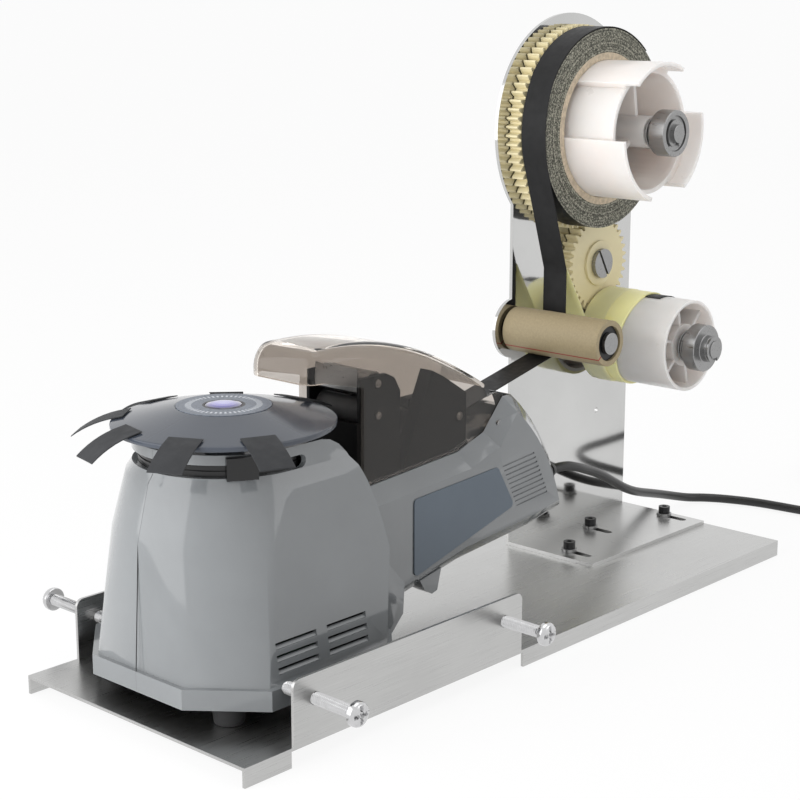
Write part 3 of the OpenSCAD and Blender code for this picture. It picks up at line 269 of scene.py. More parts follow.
def turn_of(shade, way, up):
    """Turn of a way from an axis; up names the direction across X."""
    parts = shade.node("SeparateXYZ", Vector=way)
    return shade.math("ARCTAN2", parts.outputs[up], parts.outputs["X"])


LOOKS = {}
LOOKS["stainless"] = brushed("brushed_stainless", (192, 192, 191), 0.3)
LOOKS["screw_chrome"] = brushed("bright_plate", (205, 205, 206), 0.16, (300, 300, 300), 0.000004)
LOOKS["black_steel"] = brushed("black_oxide", (44, 44, 45), 0.32, (500, 500, 500), 0.00001, 0.6)
LOOKS["steel"] = brushed("turned_steel", (152, 152, 152), 0.3, (700, 90, 700), 0.000006)
LOOKS["motor_grey"] = brushed("motor_can", (150, 150, 152), 0.35, (600, 600, 60))
LOOKS["bronze"] = brushed("sintered_bronze", (150, 112, 66), 0.4, (900, 900, 900))
LOOKS["body_grey"] = plastic("moulded_grey", (112, 115, 117), 0.12, 1500, 0.000003, 0.7)
LOOKS["panel_blue"] = plastic("satin_blue_grey", (84, 95, 106), 0.34, 5000, 0.00003)
LOOKS["black_plastic"] = plastic("black_moulding", (20, 20, 21), 0.34, 700, 0.000004)
LOOKS["black_plastic"].put("Specular IOR Level", 0.3)
LOOKS["foot_rubber"] = plastic("foot_rubber", (34, 34, 35), 0.7, 4000, 0.00006)
LOOKS["disc_blue"] = plastic("disc_blue_grey", (60, 65, 74), 0.14, 2500, 0.000004)
LOOKS["nylon"] = plastic("cream_nylon", (222, 211, 172), 0.36, 900, 0.00003)
LOOKS["white_plastic"] = plastic("warm_white", (228, 222, 218), 0.3, 1800, 0.00001)
LOOKS["white_plastic"].scatter(0.9, (1.0, 0.9, 0.85), 0.008)
# Slot lining and tape sensor: black plastic, made darker than the other black mouldings as painted shade in
# the deep slot.
LOOKS["slot_black"] = plastic("slot_black", (14, 14, 15), 0.24, 2500, 0.00001)
LOOKS["rocker_red"] = plastic("rocker_red", (150, 26, 24), 0.25, 2500, 0.00001)
LOOKS["cord_black"] = plastic("pvc_lead", (22, 22, 22), 0.36, 1400, 0.00003)
LOOKS["tape_black"] = tape("black_tape", (26, 26, 27), 0.5, 0.25, 0.12, 0.44, 0.6)
LOOKS["cut_tape"] = tape("cut_tape", (50, 51, 53), 0.62, 0.2, 0.1, 0.55, 0.7)

# Tower: mirror-polished plate, satin where its foot lies on the base

SATIN, POLISH, SATIN_TO, POLISH_FROM = 0.3, 0.07, 0.004, 0.01
foot_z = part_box("tower_bracket")[0].z
s = Shade("polished_stainless", (200, 200, 199), POLISH, 1.0)
lines = s.noise(1.0, 4, (1800, 30, 1800), 0.6)
s.vary(s.weigh(lines, s.noise(14, 4), 0.35), 0.92, 1.06)
height = s.node("SeparateXYZ", Vector=s.place()).outputs["Z"]
finish = s.span(height, foot_z + SATIN_TO, foot_z + POLISH_FROM, SATIN, POLISH)
s.put("Roughness", s.math("MULTIPLY", finish, s.span(lines, 0.3, 0.7, 0.9, 1.15)))
LOOKS["polished"] = s.bump(lines, 0.05, 0.000002)

s = Shade("frame_black", (10, 10, 11), 0.5, specular_ior_level=0.12)
s.vary(s.noise(25, 3), 0.9, 1.1)
LOOKS["frame_black"] = s.gloss(s.noise(60, 2), 0.45, 0.55).bump(s.noise(500, 1), 0.05, 0.000004)

s = Shade("board_green", (40, 92, 58), 0.35)
s.vary(s.cells(400, (1, 1, 0.01)), 0.8, 1.15, 0.1, 0.4)
LOOKS["board_green"] = s.bump(s.noise(900, 3), 0.2, 0.00005)

# Ring insert: plain ticks round a dark middle, and the lens in it

TICKS, TICK_SHARE, TICK_IN, TICK_OUT, DARK_R = 48, 0.55, 0.0148, 0.0176, 0.0098
s = Shade("ring_print", (92, 98, 108), 0.42)
dots = s.cells(900)
s.vary(dots, 0.7, 1.25, 0.2, 0.5)
way = from_axis_z(s, machine(0, 0, 0))
reach = s.length(way)
ticks = s.math("FRACT", s.math("MULTIPLY", turn_of(s, way, "Y"), TICKS / math.tau))
band = s.math("MULTIPLY", s.math("GREATER_THAN", reach, TICK_IN), s.math("LESS_THAN", reach, TICK_OUT))
s.blend(s.math("MULTIPLY", s.math("GREATER_THAN", ticks, TICK_SHARE), band), (186, 190, 196))
s.blend(s.math("LESS_THAN", reach, DARK_R), (26, 26, 30))
LOOKS["ring_grey"] = s.bump(dots, 0.35, 0.00006)

# Lens: painted light. It has a faint glow of its own, and a colour that is lightest in the middle as a
# painted highlight and darkens to the rim as painted shade.
s = Shade("violet_lens", (92, 84, 176), 0.1, coat_weight=1.0, coat_roughness=0.02, emission_strength=0.05)
glow = s.ramp(
    s.span(s.length(from_axis_z(s, machine(0, 0, 0))), 0.0, LENS_R * MM),
    (0.0, lin((150, 146, 208))),
    (0.5, lin((106, 96, 184))),
    (0.82, lin((64, 56, 132))),
    (1.0, lin((24, 23, 42))),
)
s.colour(glow)
s.put("Emission Color", glow)
LOOKS["lens_violet"] = s.bump(s.noise(400, 2), 0.05, 0.00003)

s = Shade(
    "smoked_acrylic", (194, 187, 180), 0.012, transmission_weight=1.0, ior=1.08,
    coat_weight=0.6, coat_roughness=0.02, coat_ior=1.45,
)
LOOKS["smoked"] = s.vary(s.noise(12, 3), 0.98, 1.02).gloss(s.noise(40, 3), 0.01, 0.016)

s = Shade("kraft_card", (198, 183, 160), 0.8)
s.vary(s.noise(500, 5, (1, 0.3, 1)), 0.8, 1.15)
LOOKS["card"] = s.bump(s.noise(1500, 4), 0.3, 0.00005)

# Side of the tape roll: rings of layers with specks between

LAYERS_PER_METRE = 900
s = Shade("foam_tape_edge", (98, 98, 88), 0.75)
rings = s.node("TexNoise", Scale=1.0, Detail=3.0)
rings.noise_dimensions = "1D"
s.feed(rings.inputs["W"], s.math("MULTIPLY", s.length(from_axis_y(s, REEL)), LAYERS_PER_METRE))
both = s.weigh(rings.outputs["Fac"], s.noise(1300, 1, rough=0.6), 0.34)
s.colour(s.ramp(both, (0.4, lin((56, 56, 49))), (0.5, lin((98, 98, 87))), (0.62, lin((162, 160, 146)))))
LOOKS["foam_tape"] = s.bump(both, 0.5, 0.00025)

s = Shade("yellow_liner", (250, 242, 178), 0.4)
s.vary(s.noise(30, 4), 0.95, 1.03).scatter(0.7, (1.0, 0.95, 0.6), 0.002)
LOOKS["liner"] = s.bump(s.noise(160, 3, (1, 0.2, 1)), 0.1, 0.0001)

# Guide roller: tan tube with one red line along it

RED_TURN, RED_HALF = math.radians(-141), 0.036
s = Shade("tan_tube", (152, 138, 108), 0.55)
s.vary(s.noise(900, 4), 0.92, 1.06)
off_line = s.math("ABSOLUTE", s.math("SUBTRACT", turn_of(s, from_axis_y(s, ROLLER), "Z"), RED_TURN))
s.blend(s.math("LESS_THAN", off_line, RED_HALF), (142, 40, 34))
LOOKS["roller_tan"] = s.bump(s.noise(1400, 3), 0.12, 0.00003)


# Mesh helpers


def unit(value):
    """The value, held between 0 and 1."""
    return min(1, max(0, value))


def around(n):
    """Cosine and sine at n even steps of one turn."""
    return [(math.cos(math.tau * k / n), math.sin(math.tau * k / n)) for k in range(n)]


def body_of(node):
    return frame["nodes"][node].parent.name.split(":")[1]


def add(name, mesh, body, slot, *nodes, smooth=35, look=None):
    """Object from a mesh, on a body, in place of the nodes; edges sharper than smooth degrees stay hard."""
    mesh.validate()
    mesh.materials.clear()
    mesh.materials.append(LOOKS[look or slot].mat)
    obj = bpy.data.objects.new(name, mesh)
    scene.collection.objects.link(obj)
    mesh.shade_smooth()
    mesh.set_sharp_from_angle(angle=math.radians(smooth))
    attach(obj, body)
    if nodes:
        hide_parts(*nodes)
    return obj


def finished(bm, name):
    """Mesh from a bmesh, which is freed."""
    mesh = bpy.data.meshes.new(name)
    bm.to_mesh(mesh)
    bm.free()
    return mesh


def grid(rows, capped=True):
    """Mesh from rows of points; each row is a closed ring, and caps close the two ends."""
    mesh = bpy.data.meshes.new("grid")
    m = len(rows[0])
    faces = []
    for i in range(len(rows) - 1):
        for k in range(m):
            a, b = i * m + k, i * m + (k + 1) % m
            faces.append((a, b, b + m, a + m))
    if capped:
        faces.append(tuple(range(m - 1, -1, -1)))
        faces.append(tuple(range((len(rows) - 1) * m, len(rows) * m)))
    mesh.from_pydata([tuple(p) for row in rows for p in row], [], faces)
    bm = bmesh.new()
    bm.from_mesh(mesh)
    bmesh.ops.remove_doubles(bm, verts=bm.verts, dist=1e-7)
    bmesh.ops.recalc_face_normals(bm, faces=bm.faces)
    bm.to_mesh(mesh)
    bm.free()
    return mesh


def hoop(rows):
    """Mesh from rows of points that come round to the first row."""
    return grid([*rows, rows[0]], capped=False)


def lathe(profile, origin, axis, n=64, ring=False):
    """Turned form: profile of (distance along the axis, radius) round an axis; a ring is left hollow."""
    axis = Vector(axis).normalized()
    u = axis.orthogonal().normalized()
    v = axis.cross(u)
    rows = [
        [Vector(origin) + axis * (d * MM) + (u * c + v * s) * (r * MM) for c, s in around(n)]
        for d, r in profile
    ]
    return hoop(rows) if ring else grid(rows)


def smooth_line(points, step):
    """Evenly dense line through the points, without corners."""
    pts = [Vector(p) for p in points]
    pts = [2 * pts[0] - pts[1], *pts, 2 * pts[-1] - pts[-2]]
    out = []
    for i in range(1, len(pts) - 2):
        p0, p1, p2, p3 = pts[i - 1:i + 3]
        n = max(2, round((p2 - p1).length / step))
        for k in range(n):
            t = k / n
            out.append(0.5 * (
                2 * p1 + (p2 - p0) * t + (2 * p0 - 5 * p1 + 4 * p2 - p3) * t * t
                + (3 * p1 - p0 - 3 * p2 + p3) * t ** 3
            ))
    return [*out, pts[-2]]


def wire(points, radius, sides=12):
    """Round wire along a line of points."""
    rows = []
    up = None
    for i, p in enumerate(points):
        d = (points[min(i + 1, len(points) - 1)] - points[max(i - 1, 0)]).normalized()
        up = d.orthogonal() if up is None else up - d * up.dot(d)
        up.normalize()
        side = d.cross(up)
        rows.append([p + (up * c + side * s) * radius for c, s in around(sides)])
    return grid(rows)


def rounded(w, h, r, n=6):
    """Outline of a rectangle with round corners, as points about its middle; w and h are half sizes."""
    out = []
    for cx, cy, start in ((w - r, h - r, 0), (r - w, h - r, 90), (r - w, r - h, 180), (w - r, r - h, 270)):
        for k in range(n + 1):
            a = math.radians(start + 90 * k / n)
            out.append((cx + r * math.cos(a), cy + r * math.sin(a)))
    return out


# Mains lead: the source's route, in metres, with the coil and the run to the plug

ROUTE = [
    (0.1, 0, 0.06), (0.106, 0, 0.06), (0.115, 0.0003, 0.0589), (0.125, 0.001, 0.056), (0.136, 0.003, 0.052),
    (0.149, 0.005, 0.047), (0.161, 0.007, 0.0415), (0.173, 0.009, 0.0355), (0.185, 0.011, 0.0295),
    (0.197, 0.013, 0.0245), (0.209, 0.015, 0.0205), (0.221, 0.017, 0.017), (0.233, 0.019, 0.0135),
    (0.245, 0.02, 0.01), (0.257, 0.02, 0.0065), (0.267, 0.018, 0.004), (0.276, 0.0125, 0.003),
    (0.282, 0.004, 0.0028), (0.287, -0.008, 0.0028), (0.2905, -0.02, 0.0028), (0.2925, -0.033, 0.0028),
    (0.294, -0.046, 0.0028), (0.2967, -0.058, 0.0028), (0.302, -0.069, 0.0028), (0.31, -0.0775, 0.0028),
    (0.321, -0.083, 0.0028), (0.334, -0.085, 0.0028), (0.348, -0.0846, 0.003), (0.363, -0.0842, 0.0034),
    (0.379, -0.084, 0.0038), (0.3946, -0.083975, 0.0038),
]
COIL_C, COIL_IN, COIL_STEP, COIL_TURNS = (0.4, -0.043), 0.022, 0.0069, 3
COIL_Z, COIL_RISE, COIL_POINTS = 0.0038, 0.006, 24
PLUG_RUN, PLUG_STRAIGHT = Vector((0.032, 0, -0.0016)), Vector((0.008, 0, 0))
LEAD_D, LEAD_STEP = 0.0054, 0.004


def coil_point(s):
    """Point of the coil after s turns: inward in the lower layer, then outward in the upper one."""
    d = s - COIL_TURNS
    a = math.tau * (s - 0.25)
    r = COIL_IN + COIL_STEP * max(0, abs(d) - 0.25)
    z = COIL_Z + COIL_RISE * unit(d * 2 + 0.5)
    return Vector((COIL_C[0] + r * math.cos(a), COIL_C[1] + r * math.sin(a), z))


coil = [coil_point(i / COIL_POINTS) for i in range(2 * COIL_TURNS * COIL_POINTS + 1)]
plug_at = coil[-1] + PLUG_RUN
lead_line = smooth_line([*ROUTE, *coil, plug_at - PLUG_STRAIGHT, plug_at], LEAD_STEP)
curve = bpy.data.curves.new("mains_lead", "CURVE")
curve.dimensions = "3D"
curve.bevel_depth, curve.bevel_resolution, curve.use_fill_caps = LEAD_D / 2, 5, True
spline = curve.splines.new("POLY")
spline.points.add(len(lead_line) - 1)
for point, p in zip(spline.points, lead_line):
    point.co = (*p, 1)
spline.use_smooth = True
curve.materials.append(LOOKS["cord_black"].mat)
lead = bpy.data.objects.new("mains_lead", curve)
scene.collection.objects.link(lead)
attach(lead, "stand")
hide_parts("cord", "cord_coil")

# Strain relief with ribs that get thinner, plug with its pins, and the tie round the coil

RELIEF_L, RIBS, RIB_STEP, RIB_LOSS = 28.06, 6, 3.4, 0.42
relief_profile = [(0, 0.2), (0, 5), (5, 5), (5, 6.2), (5.3, 6.5)]
for i in range(RIBS):
    d = 6.5 + RIB_STEP * i
    r = 6.4 - RIB_LOSS * i
    relief_profile += [(d, r), (d + 0.4, r - 0.1), (d + 0.6, r - 1.1), (d + 1.5, r - 1.1), (d + 1.7, r - 0.2)]
relief_profile += [(27.4, 3.6), (RELIEF_L, 3.3), (RELIEF_L, 0.2)]
relief_at = Vector(ROUTE[0]) - Vector((RELIEF_L * MM, 0, 0))
relief = add(
    "strain_relief", lathe(relief_profile, relief_at, (1, 0, 0), 40), "stand", "cord_black", "cord_end"
)

PLUG_L, PIN_Y = 36.0, 9.5
PLUG_ROWS = [
    (0, 3.4, 3.4, 3.3), (1.5, 3.9, 3.9, 3.8), (4, 3.9, 3.9, 3.8), (4.4, 3.4, 3.4, 3.3), (6, 3.5, 3.5, 3.4),
    (6.4, 4.6, 4.4, 4.3), (9, 5, 4.6, 4.5), (9.4, 4.2, 4, 3.9), (11, 4.6, 4.2, 4.1), (12.6, 7, 5.4, 5),
    (14.4, 12.5, 7, 6), (16, 15.2, 7.8, 7.2), (18, 16.6, 8, 7.8), (22, 16.9, 8, 7.9), (27, 16.2, 7.6, 7.5),
    (31, 16.6, 7.9, 7.8), (34.5, 17, 8, 7.9), (35.6, 16.8, 7.8, 7.7), (PLUG_L, 16.2, 7.2, 7.1),
]
SLEEVE = [(0, 0.1), (0, 1.95), (9.6, 1.95), (10, 1.75), (10, 0.1)]
PIN = [(9.8, 0.1), (9.8, 1.9), (16.8, 1.9), (18, 1.5), (18.8, 0.7), (19, 0.1)]
plug = add("plug_body", grid([
    [plug_at + Vector((d * MM, y * MM, z * MM)) for y, z in rounded(w, h, r)]
    for d, w, h, r in PLUG_ROWS
]), "stand", "cord_black", smooth=40)
for k, y in enumerate((-PIN_Y, PIN_Y)):
    at = plug_at + Vector((PLUG_L * MM, y * MM, 0))
    add(f"plug_sleeve_{k}", lathe(SLEEVE, at, (1, 0, 0), 24), "stand", "cord_black")
    add(f"plug_pin_{k}", lathe(PIN, at, (1, 0, 0), 24), "stand", "screw_chrome")

TIE_OUTLINE, TIE_HALF, TIE_T = (13.34, 6.65, 4.5, 10), 0.004, 0.8
TIE_AT = Vector((COIL_C[0], COIL_C[1] + 0.0317375, 0.00705))
rows = []
for y, z in rounded(*TIE_OUTLINE):
    d = Vector((y, z)).normalized()
    rows.append([
        TIE_AT + Vector((s * TIE_HALF, (y - q * d.x) * MM, (z - q * d.y) * MM))
        for s, q in ((-1, 0), (1, 0), (1, TIE_T), (-1, TIE_T))
    ])
tie = add("coil_tie", hoop(rows), "stand", "cord_black")


# Webs in XZ: tape from the roll to the feed, and liner to the rewind spool

WEB_GAP, PEEL_UP, PEEL_SOFT, STRAND_END = 0.35, 34.0, 4.0, 73.8
DOWN, ROLL_WRAP, LINER_WRAP = math.radians(-90), math.radians(150), math.radians(30)
WEB_SECTION = (
    (-0.985, 1), (-0.5, 1), (0, 1), (0.5, 1), (0.985, 1), (1, 0.4), (1, -0.4),
    (0.985, -1), (0.5, -1), (0, -1), (-0.5, -1), (-0.985, -1), (-1, -0.4), (-1, 0.4),
)


def left_of(a):
    return Vector((-math.sin(a), math.cos(a)))


def run_angle(c0, r0, c1, r1):
    """Direction of the straight run between two rounds; a radius is positive for a round on the left."""
    d = c1 - c0
    return math.atan2(d.y, d.x) - math.asin((r1 - r0) / d.length)


def turned_back(a, limit):
    """The same direction, less as many whole turns as bring it to the limit or below."""
    while a > limit:
        a -= math.tau
    return a


def wrap(c, r, a0, a1, n):
    """Places and directions along a round, from one direction to another."""
    turns = [a0 + (a1 - a0) * i / n for i in range(n + 1)]
    return [(*(c - r * left_of(a)), a) for a in turns]


def web_band(line, ys, thick):
    """Thin strip along a line, with rounded long edges."""
    rows = []
    for (x, z, a), y in zip(line, ys):
        n = left_of(a) * thick / 2
        rows.append([base(x + n.x * q, y + s * TAPE_W / 2, z + n.y * q) for s, q in WEB_SECTION])
    return grid(rows)


web = TAPE_T / 2 + WEB_GAP
reel_c, roller_c, rewind_c = Vector(REEL), Vector(ROLLER), Vector(REWIND)
feed_c, guide_c = (Vector((DRUM_X + u, PAN_Z + w)) for u, w in (FEED, GUIDE))
peel = roller_c + Vector((ROLLER_R + web, PEEL_UP))
peel_a = run_angle(reel_c, ROLL_R + web, peel, 0)
in_a = turned_back(run_angle(roller_c, -ROLLER_R - web, guide_c, -GUIDE_R - web), DOWN)
rise_a = turned_back(run_angle(guide_c, -GUIDE_R - web, feed_c, FEED_R + web), in_a)
strand = [
    *wrap(reel_c, ROLL_R + web, peel_a - ROLL_WRAP, peel_a, 75),
    (*(peel - Vector((math.cos(peel_a), math.sin(peel_a))) * PEEL_SOFT), peel_a),
    (*peel, (peel_a + DOWN) / 2),
    (*(peel - Vector((0, PEEL_SOFT))), DOWN),
    *wrap(roller_c, -ROLLER_R - web, DOWN, in_a, 24),
    *wrap(guide_c, -GUIDE_R - web, in_a, rise_a, 10),
    *wrap(feed_c, FEED_R + web, rise_a, -math.pi, 8),
    (DRUM_X + STRAND_END, feed_c.y + FEED_R + web, -math.pi),
]
strand_y = [TAPE_Y * unit((x - guide_c.x) / (roller_c.x - guide_c.x)) for x, _, _ in strand]
add("tape_web", web_band(strand, strand_y, TAPE_T), "stand", "tape_black", "tape_strand", smooth=50)

liner_from = peel + Vector((web + LINER_T / 2, 0))
liner_r = LINER_R + LINER_T / 2 + WEB_GAP
liner_a = run_angle(liner_from, 0, rewind_c, liner_r)
liner_line = [(*liner_from, liner_a), *wrap(rewind_c, liner_r, liner_a, liner_a + LINER_WRAP, 10)]
liner_mesh = web_band(liner_line, [TAPE_Y] * len(liner_line), LINER_T)
add("liner_web", liner_mesh, "stand", "liner", "liner_strand", smooth=50)

# Domed disc, as (height, radius), and the cut tape pieces that droop outside its rim

DISC_R, RIM_Z, CROWN_Z, RING_R, PIECE_R = 51.4, 115.2, 121.6, 21.8, 69.5
RIM_ROUND, RING_GAP = 0.6, 0.2
disc_profile = [
    (109.95, 4), (109.95, 8.8), (110.15, 9), (117.6, 9), (117.6, RING_R), (112.7, 48.4), (112.7, 50.8),
    (112.88, 51.22), (113.3, DISC_R), (114.5, DISC_R), (114.78, 51.34), (115.02, 51.16), (RIM_Z, 50.8),
    (115.3, 50.35), (121.4, 22.9), (121.54, 22.25), (121.5, 22.06), (121.3, 22), (120.8, 22), (120.8, 4),
]
disc = lathe(disc_profile, machine(0, 0, 0), (0, 0, 1), 160, True)
add("domed_disc", disc, "carousel", "disc_blue", "carousel_disc")

PIECE_BACKS, PIECE_STEPS, PIECE_LIFT, PIECE_SAG = (6.5, 3.0, 0.0), 6, 0.15, 0.12
FIRST_TURN, NEXT_TURN = 7, 40
DROOPS = (14, 16, 18, 22, 26, 18, 14)
PIECE_SECTION = (
    (-1, 0), (-0.5, 0), (0, 0), (0.5, 0), (1, 0), (1, 1), (0.5, 1), (0, 1), (-0.5, 1), (-1, 1),
)
cone_a = math.atan2(CROWN_Z - RIM_Z, DISC_R - RIM_ROUND - RING_R - RING_GAP)


def droop_line(bend):
    """Line of a piece as (radius, height): down the disc's cone to its rim, then bent by some degrees."""
    x, z = DISC_R, RIM_Z + PIECE_LIFT
    out = [(x - back, z + back * math.tan(cone_a)) for back in PIECE_BACKS]
    step = (PIECE_R - DISC_R) / PIECE_STEPS / math.cos(cone_a + math.radians(bend) / 2)
    for k in range(1, PIECE_STEPS + 1):
        a = cone_a + math.radians(bend) * k / PIECE_STEPS
        x, z = x + step * math.cos(a), z - step * math.sin(a)
        out.append((x, z))
    return out


for k, bend in enumerate(DROOPS):
    turn = math.radians(FIRST_TURN + NEXT_TURN * k)
    rows = []
    for i, (x, z) in enumerate(droop_line(bend)):
        past_rim = max(0, i - len(PIECE_BACKS) + 1) / PIECE_STEPS
        row = []
        for s, q in PIECE_SECTION:
            y = s * TAPE_W / 2
            sag = PIECE_SAG * (math.hypot(x, y) - x) * past_rim
            u = x * math.cos(turn) - y * math.sin(turn)
            v = x * math.sin(turn) + y * math.cos(turn)
            row.append(machine(u, v, z + q * TAPE_T - sag))
        rows.append(row)
    piece = add(f"tape_piece_{k}", grid(rows), "carousel", "tape_black", smooth=50, look="cut_tape")
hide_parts("tape_pieces")

# Rolls: the wound tape with its layered edge, and the wound liner

ROLL_STEPS, ROLL_EDGE, SLANT_FROM = 26, 0.15, math.radians(100)
LINER_IN, LINER_OUT, WRAP_IN, WRAP_OUT = 26.05, LINER_R - 0.1, LINER_R - 0.2, LINER_R + 0.2
WRAP_BACK, WRAP_SHORT = 14, 0.6


def about_y(centre, r, a, y):
    """Point at a radius and a turn about an axis along Y."""
    return base(centre[0] + r * math.cos(a), y, centre[1] + r * math.sin(a))


def uneven(i, f, g):
    """Height between 0 and 1 of the layer with number i; f and g set the pattern."""
    return 0.5 + 0.5 * math.sin(f * i) * math.cos(g * i)


def roll(name, centre, inner, outer, y0, y1, slot, ripple, body, *nodes, n=96, slant=0.0):
    """Wound roll with rippled sides; slant pushes the near side back on one half of the turn."""
    radii = [inner + (outer - inner) * i / ROLL_STEPS for i in range(ROLL_STEPS + 1)]
    near = [(y0 + ripple * uneven(i, 7.3, 3.1), r) for i, r in enumerate(radii)]
    far = [(y1 - ripple * uneven(i, 5.1, 2.3), r) for i, r in enumerate(radii)]
    near[0], far[0] = (y0, inner), (y1, inner)
    near[-1], far[-1] = (y0 + ROLL_EDGE, outer), (y1 - ROLL_EDGE, outer)
    rows = []
    for k in range(n):
        a = math.tau * k / n
        push = slant * (0.5 - 0.5 * math.cos(a - SLANT_FROM)) / (y1 - y0)
        rows.append([about_y(centre, r, a, y + push * (y1 - y)) for y, r in (*near, *reversed(far))])
    return add(name, hoop(rows), body, slot, *nodes, smooth=60)


tape_roll = roll(
    "wound_tape", REEL, CORE_R, ROLL_R, TAPE_NEAR, TAPE_FAR, "foam_tape", 0.25, "reel", "tape_roll"
)
tape_roll.data.materials.append(LOOKS["tape_black"].mat)
for poly in tape_roll.data.polygons:
    c = poly.center - base(REEL[0], 0, REEL[1])
    if math.hypot(c.x, c.z) > (ROLL_R - 0.3) * MM and abs(poly.normal.y) < 0.5:
        poly.material_index = 1
y0, y1 = sides_of("liner_roll")
roll("wound_liner", REWIND, LINER_IN, LINER_OUT, y0, y1, "liner", 0.1, "rewind", "liner_roll", n=80, slant=9)
y0, y1 = y0 + WRAP_BACK, y1 - WRAP_SHORT
roll("liner_wrap", REWIND, WRAP_IN, WRAP_OUT, y0, y1, "liner", 0.02, "rewind", n=80, slant=7)

# Springs, finer than the source's wire

SPRING_R, SPRING_WIRE, SPRING_STEPS = 8.5, 0.6, 40
for name, node, centre, curls in (
    ("brake_spring", "reel_spring", REEL, 2),
    ("clutch_spring", "rewind_spring", REWIND, 3),
):
    y0, y1 = sides_of(node)
    first, rise, count = y0 + SPRING_WIRE, y1 - y0 - 2 * SPRING_WIRE, SPRING_STEPS * curls
    points = [
        about_y(centre, SPRING_R, math.tau * i / SPRING_STEPS, first + rise * i / count)
        for i in range(count + 1)
    ]
    add(name, wire(points, SPRING_WIRE * MM), body_of(node), "steel", node)

# Clamp screws: pan head, as (depth, radius), with a cross recess and an M6 thread

HEAD_H, SCREW_SIDES, CROSS_R, CROSS_HALF, CROSS_DEEP = 4.0, 48, 3.3, 0.55, 1.8
THREAD_R, THREAD_DEEP, THREAD_PITCH, THREAD_STEPS, POINT_L = 2.98, 0.5, 1.0, 8, 1.2
PAN_HEAD = (
    (0, 1.6), (0.02, 3.2), (0.25, 4.4), (0.8, 5.2), (1.6, 5.62), (2.6, 5.75), (3.7, 5.72), (HEAD_H, 5.5),
)


def clamp_screw(node, side, body):
    lo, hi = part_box(node)
    origin = Vector(((lo.x + hi.x) / 2, hi.y if side > 0 else lo.y, (lo.z + hi.z) / 2))
    length = (hi.y - lo.y) / MM
    rows = []
    for d, r in PAN_HEAD:
        row = []
        for c, s in around(SCREW_SIDES):
            in_cross = r < CROSS_R and min(abs(s), abs(c)) * r < CROSS_HALF
            deep = d + CROSS_DEEP if in_cross else d
            row.append(origin + Vector((r * c, -side * deep, r * s)) * MM)
        rows.append(row)
    count = int((length - HEAD_H) * THREAD_STEPS)
    for i in range(count + 1):
        d = HEAD_H + (length - HEAD_H) * i / count
        crest = THREAD_R - THREAD_DEEP * (1 - min(1, (length - d) / POINT_L))
        row = []
        for k, (c, s) in enumerate(around(SCREW_SIDES)):
            turn = (d / THREAD_PITCH - side * k / SCREW_SIDES) % 1
            r = crest - THREAD_DEEP * abs(2 * turn - 1)
            row.append(origin + Vector((r * c, -side * d, r * s)) * MM)
        rows.append(row)
    add("pan_" + node, grid(rows), body, "screw_chrome", node, smooth=30)


for side_name, side in (("near", -1), ("far", 1)):
    for end in ("front", "rear"):
        clamp_screw(f"clamp_screw_{side_name}_{end}", side, f"clamp_{side_name}_{end}")

# Smoked cover: arched shell with round shoulders, open below, cheeks round the hinge

COVER_W, COVER_T, HINGE, HINGE_R = 22.0, 2.0, (165.0, 87.0), 15.5
BACK_MID, BACK_R, BACK_FROM, BACK_STEP, BACK_POINTS = (53.0, -36.0), 179.0, 93.88, 3.02, 13
SHOULDER_R, SHOULDER_LOSS, SHOULDER_STEPS = 8.5, 6.0, 8
NARROW_FROM, NARROW_RUN = 135, 23


def on_circle(mid, r, degrees):
    a = math.radians(degrees)
    return Vector((mid[0] + r * math.cos(a), mid[1] + r * math.sin(a), 0))


back_line = smooth_line([
    (34, 127.2, 0), (34, 132.5, 0), (36, 138, 0),
    *(on_circle(BACK_MID, BACK_R, BACK_FROM - BACK_STEP * i) for i in range(BACK_POINTS)),
    (156.6, 109.95, 0), (158.3, 108.6, 0),
], 2.0)
skirt = [
    *(on_circle(HINGE, HINGE_R, a) for a in range(110, -161, -9)), on_circle(HINGE, HINGE_R, -161.7),
    (136, 77.37, 0), (68.5, 72.63, 0), (68.5, 121.2, 0),
]


def cover_skin(bm, inset):
    """One skin of the cover; all its vertices in a fixed order."""
    rows = []
    for i, q in enumerate(back_line):
        way = (back_line[min(i + 1, len(back_line) - 1)] - back_line[max(i - 1, 0)]).normalized()
        inward = Vector((way.y, -way.x, 0))
        bend = SHOULDER_R - SHOULDER_LOSS * unit((q.x - NARROW_FROM) / NARROW_RUN) ** 1.5
        row = []
        for side in (-1, 1):
            curl = []
            for k in range(SHOULDER_STEPS + 1):
                f = math.pi / 2 * (1 - k / SHOULDER_STEPS)
                r = q + inward * (bend - (bend - inset) * math.cos(f))
                y = COVER_W - bend + (bend - inset) * math.sin(f)
                curl.append(bm.verts.new(machine(r.x, side * y, r.y)))
            row += curl if side < 0 else reversed(curl)
        rows.append(row)
    for row, after in zip(rows, rows[1:]):
        for k in range(len(row) - 1):
            bm.faces.new((row[k], row[k + 1], after[k + 1], after[k]))
    out = [v for row in rows for v in row]
    for side, k in ((-1, 0), (1, -1)):
        low = [bm.verts.new(machine(q[0], side * (COVER_W - inset), q[1])) for q in skirt]
        bm.faces.new([*(row[k] for row in rows), *low])
        out += low
    return out


bm = bmesh.new()
outside = cover_skin(bm, 0.0)
rim = [tuple(e.verts) for e in bm.edges if len(e.link_faces) == 1]
twin = dict(zip(outside, cover_skin(bm, COVER_T)))
for p, q in rim:
    bm.faces.new((p, q, twin[q], twin[p]))
bmesh.ops.recalc_face_normals(bm, faces=bm.faces)
add("cover_shell", finished(bm, "cover_shell"), body_of("smoked_cover"), "smoked", "smoked_cover", smooth=32)

# Guide block under the cover: leaning near cheek, low far cheek round the guide pin, and the floor between

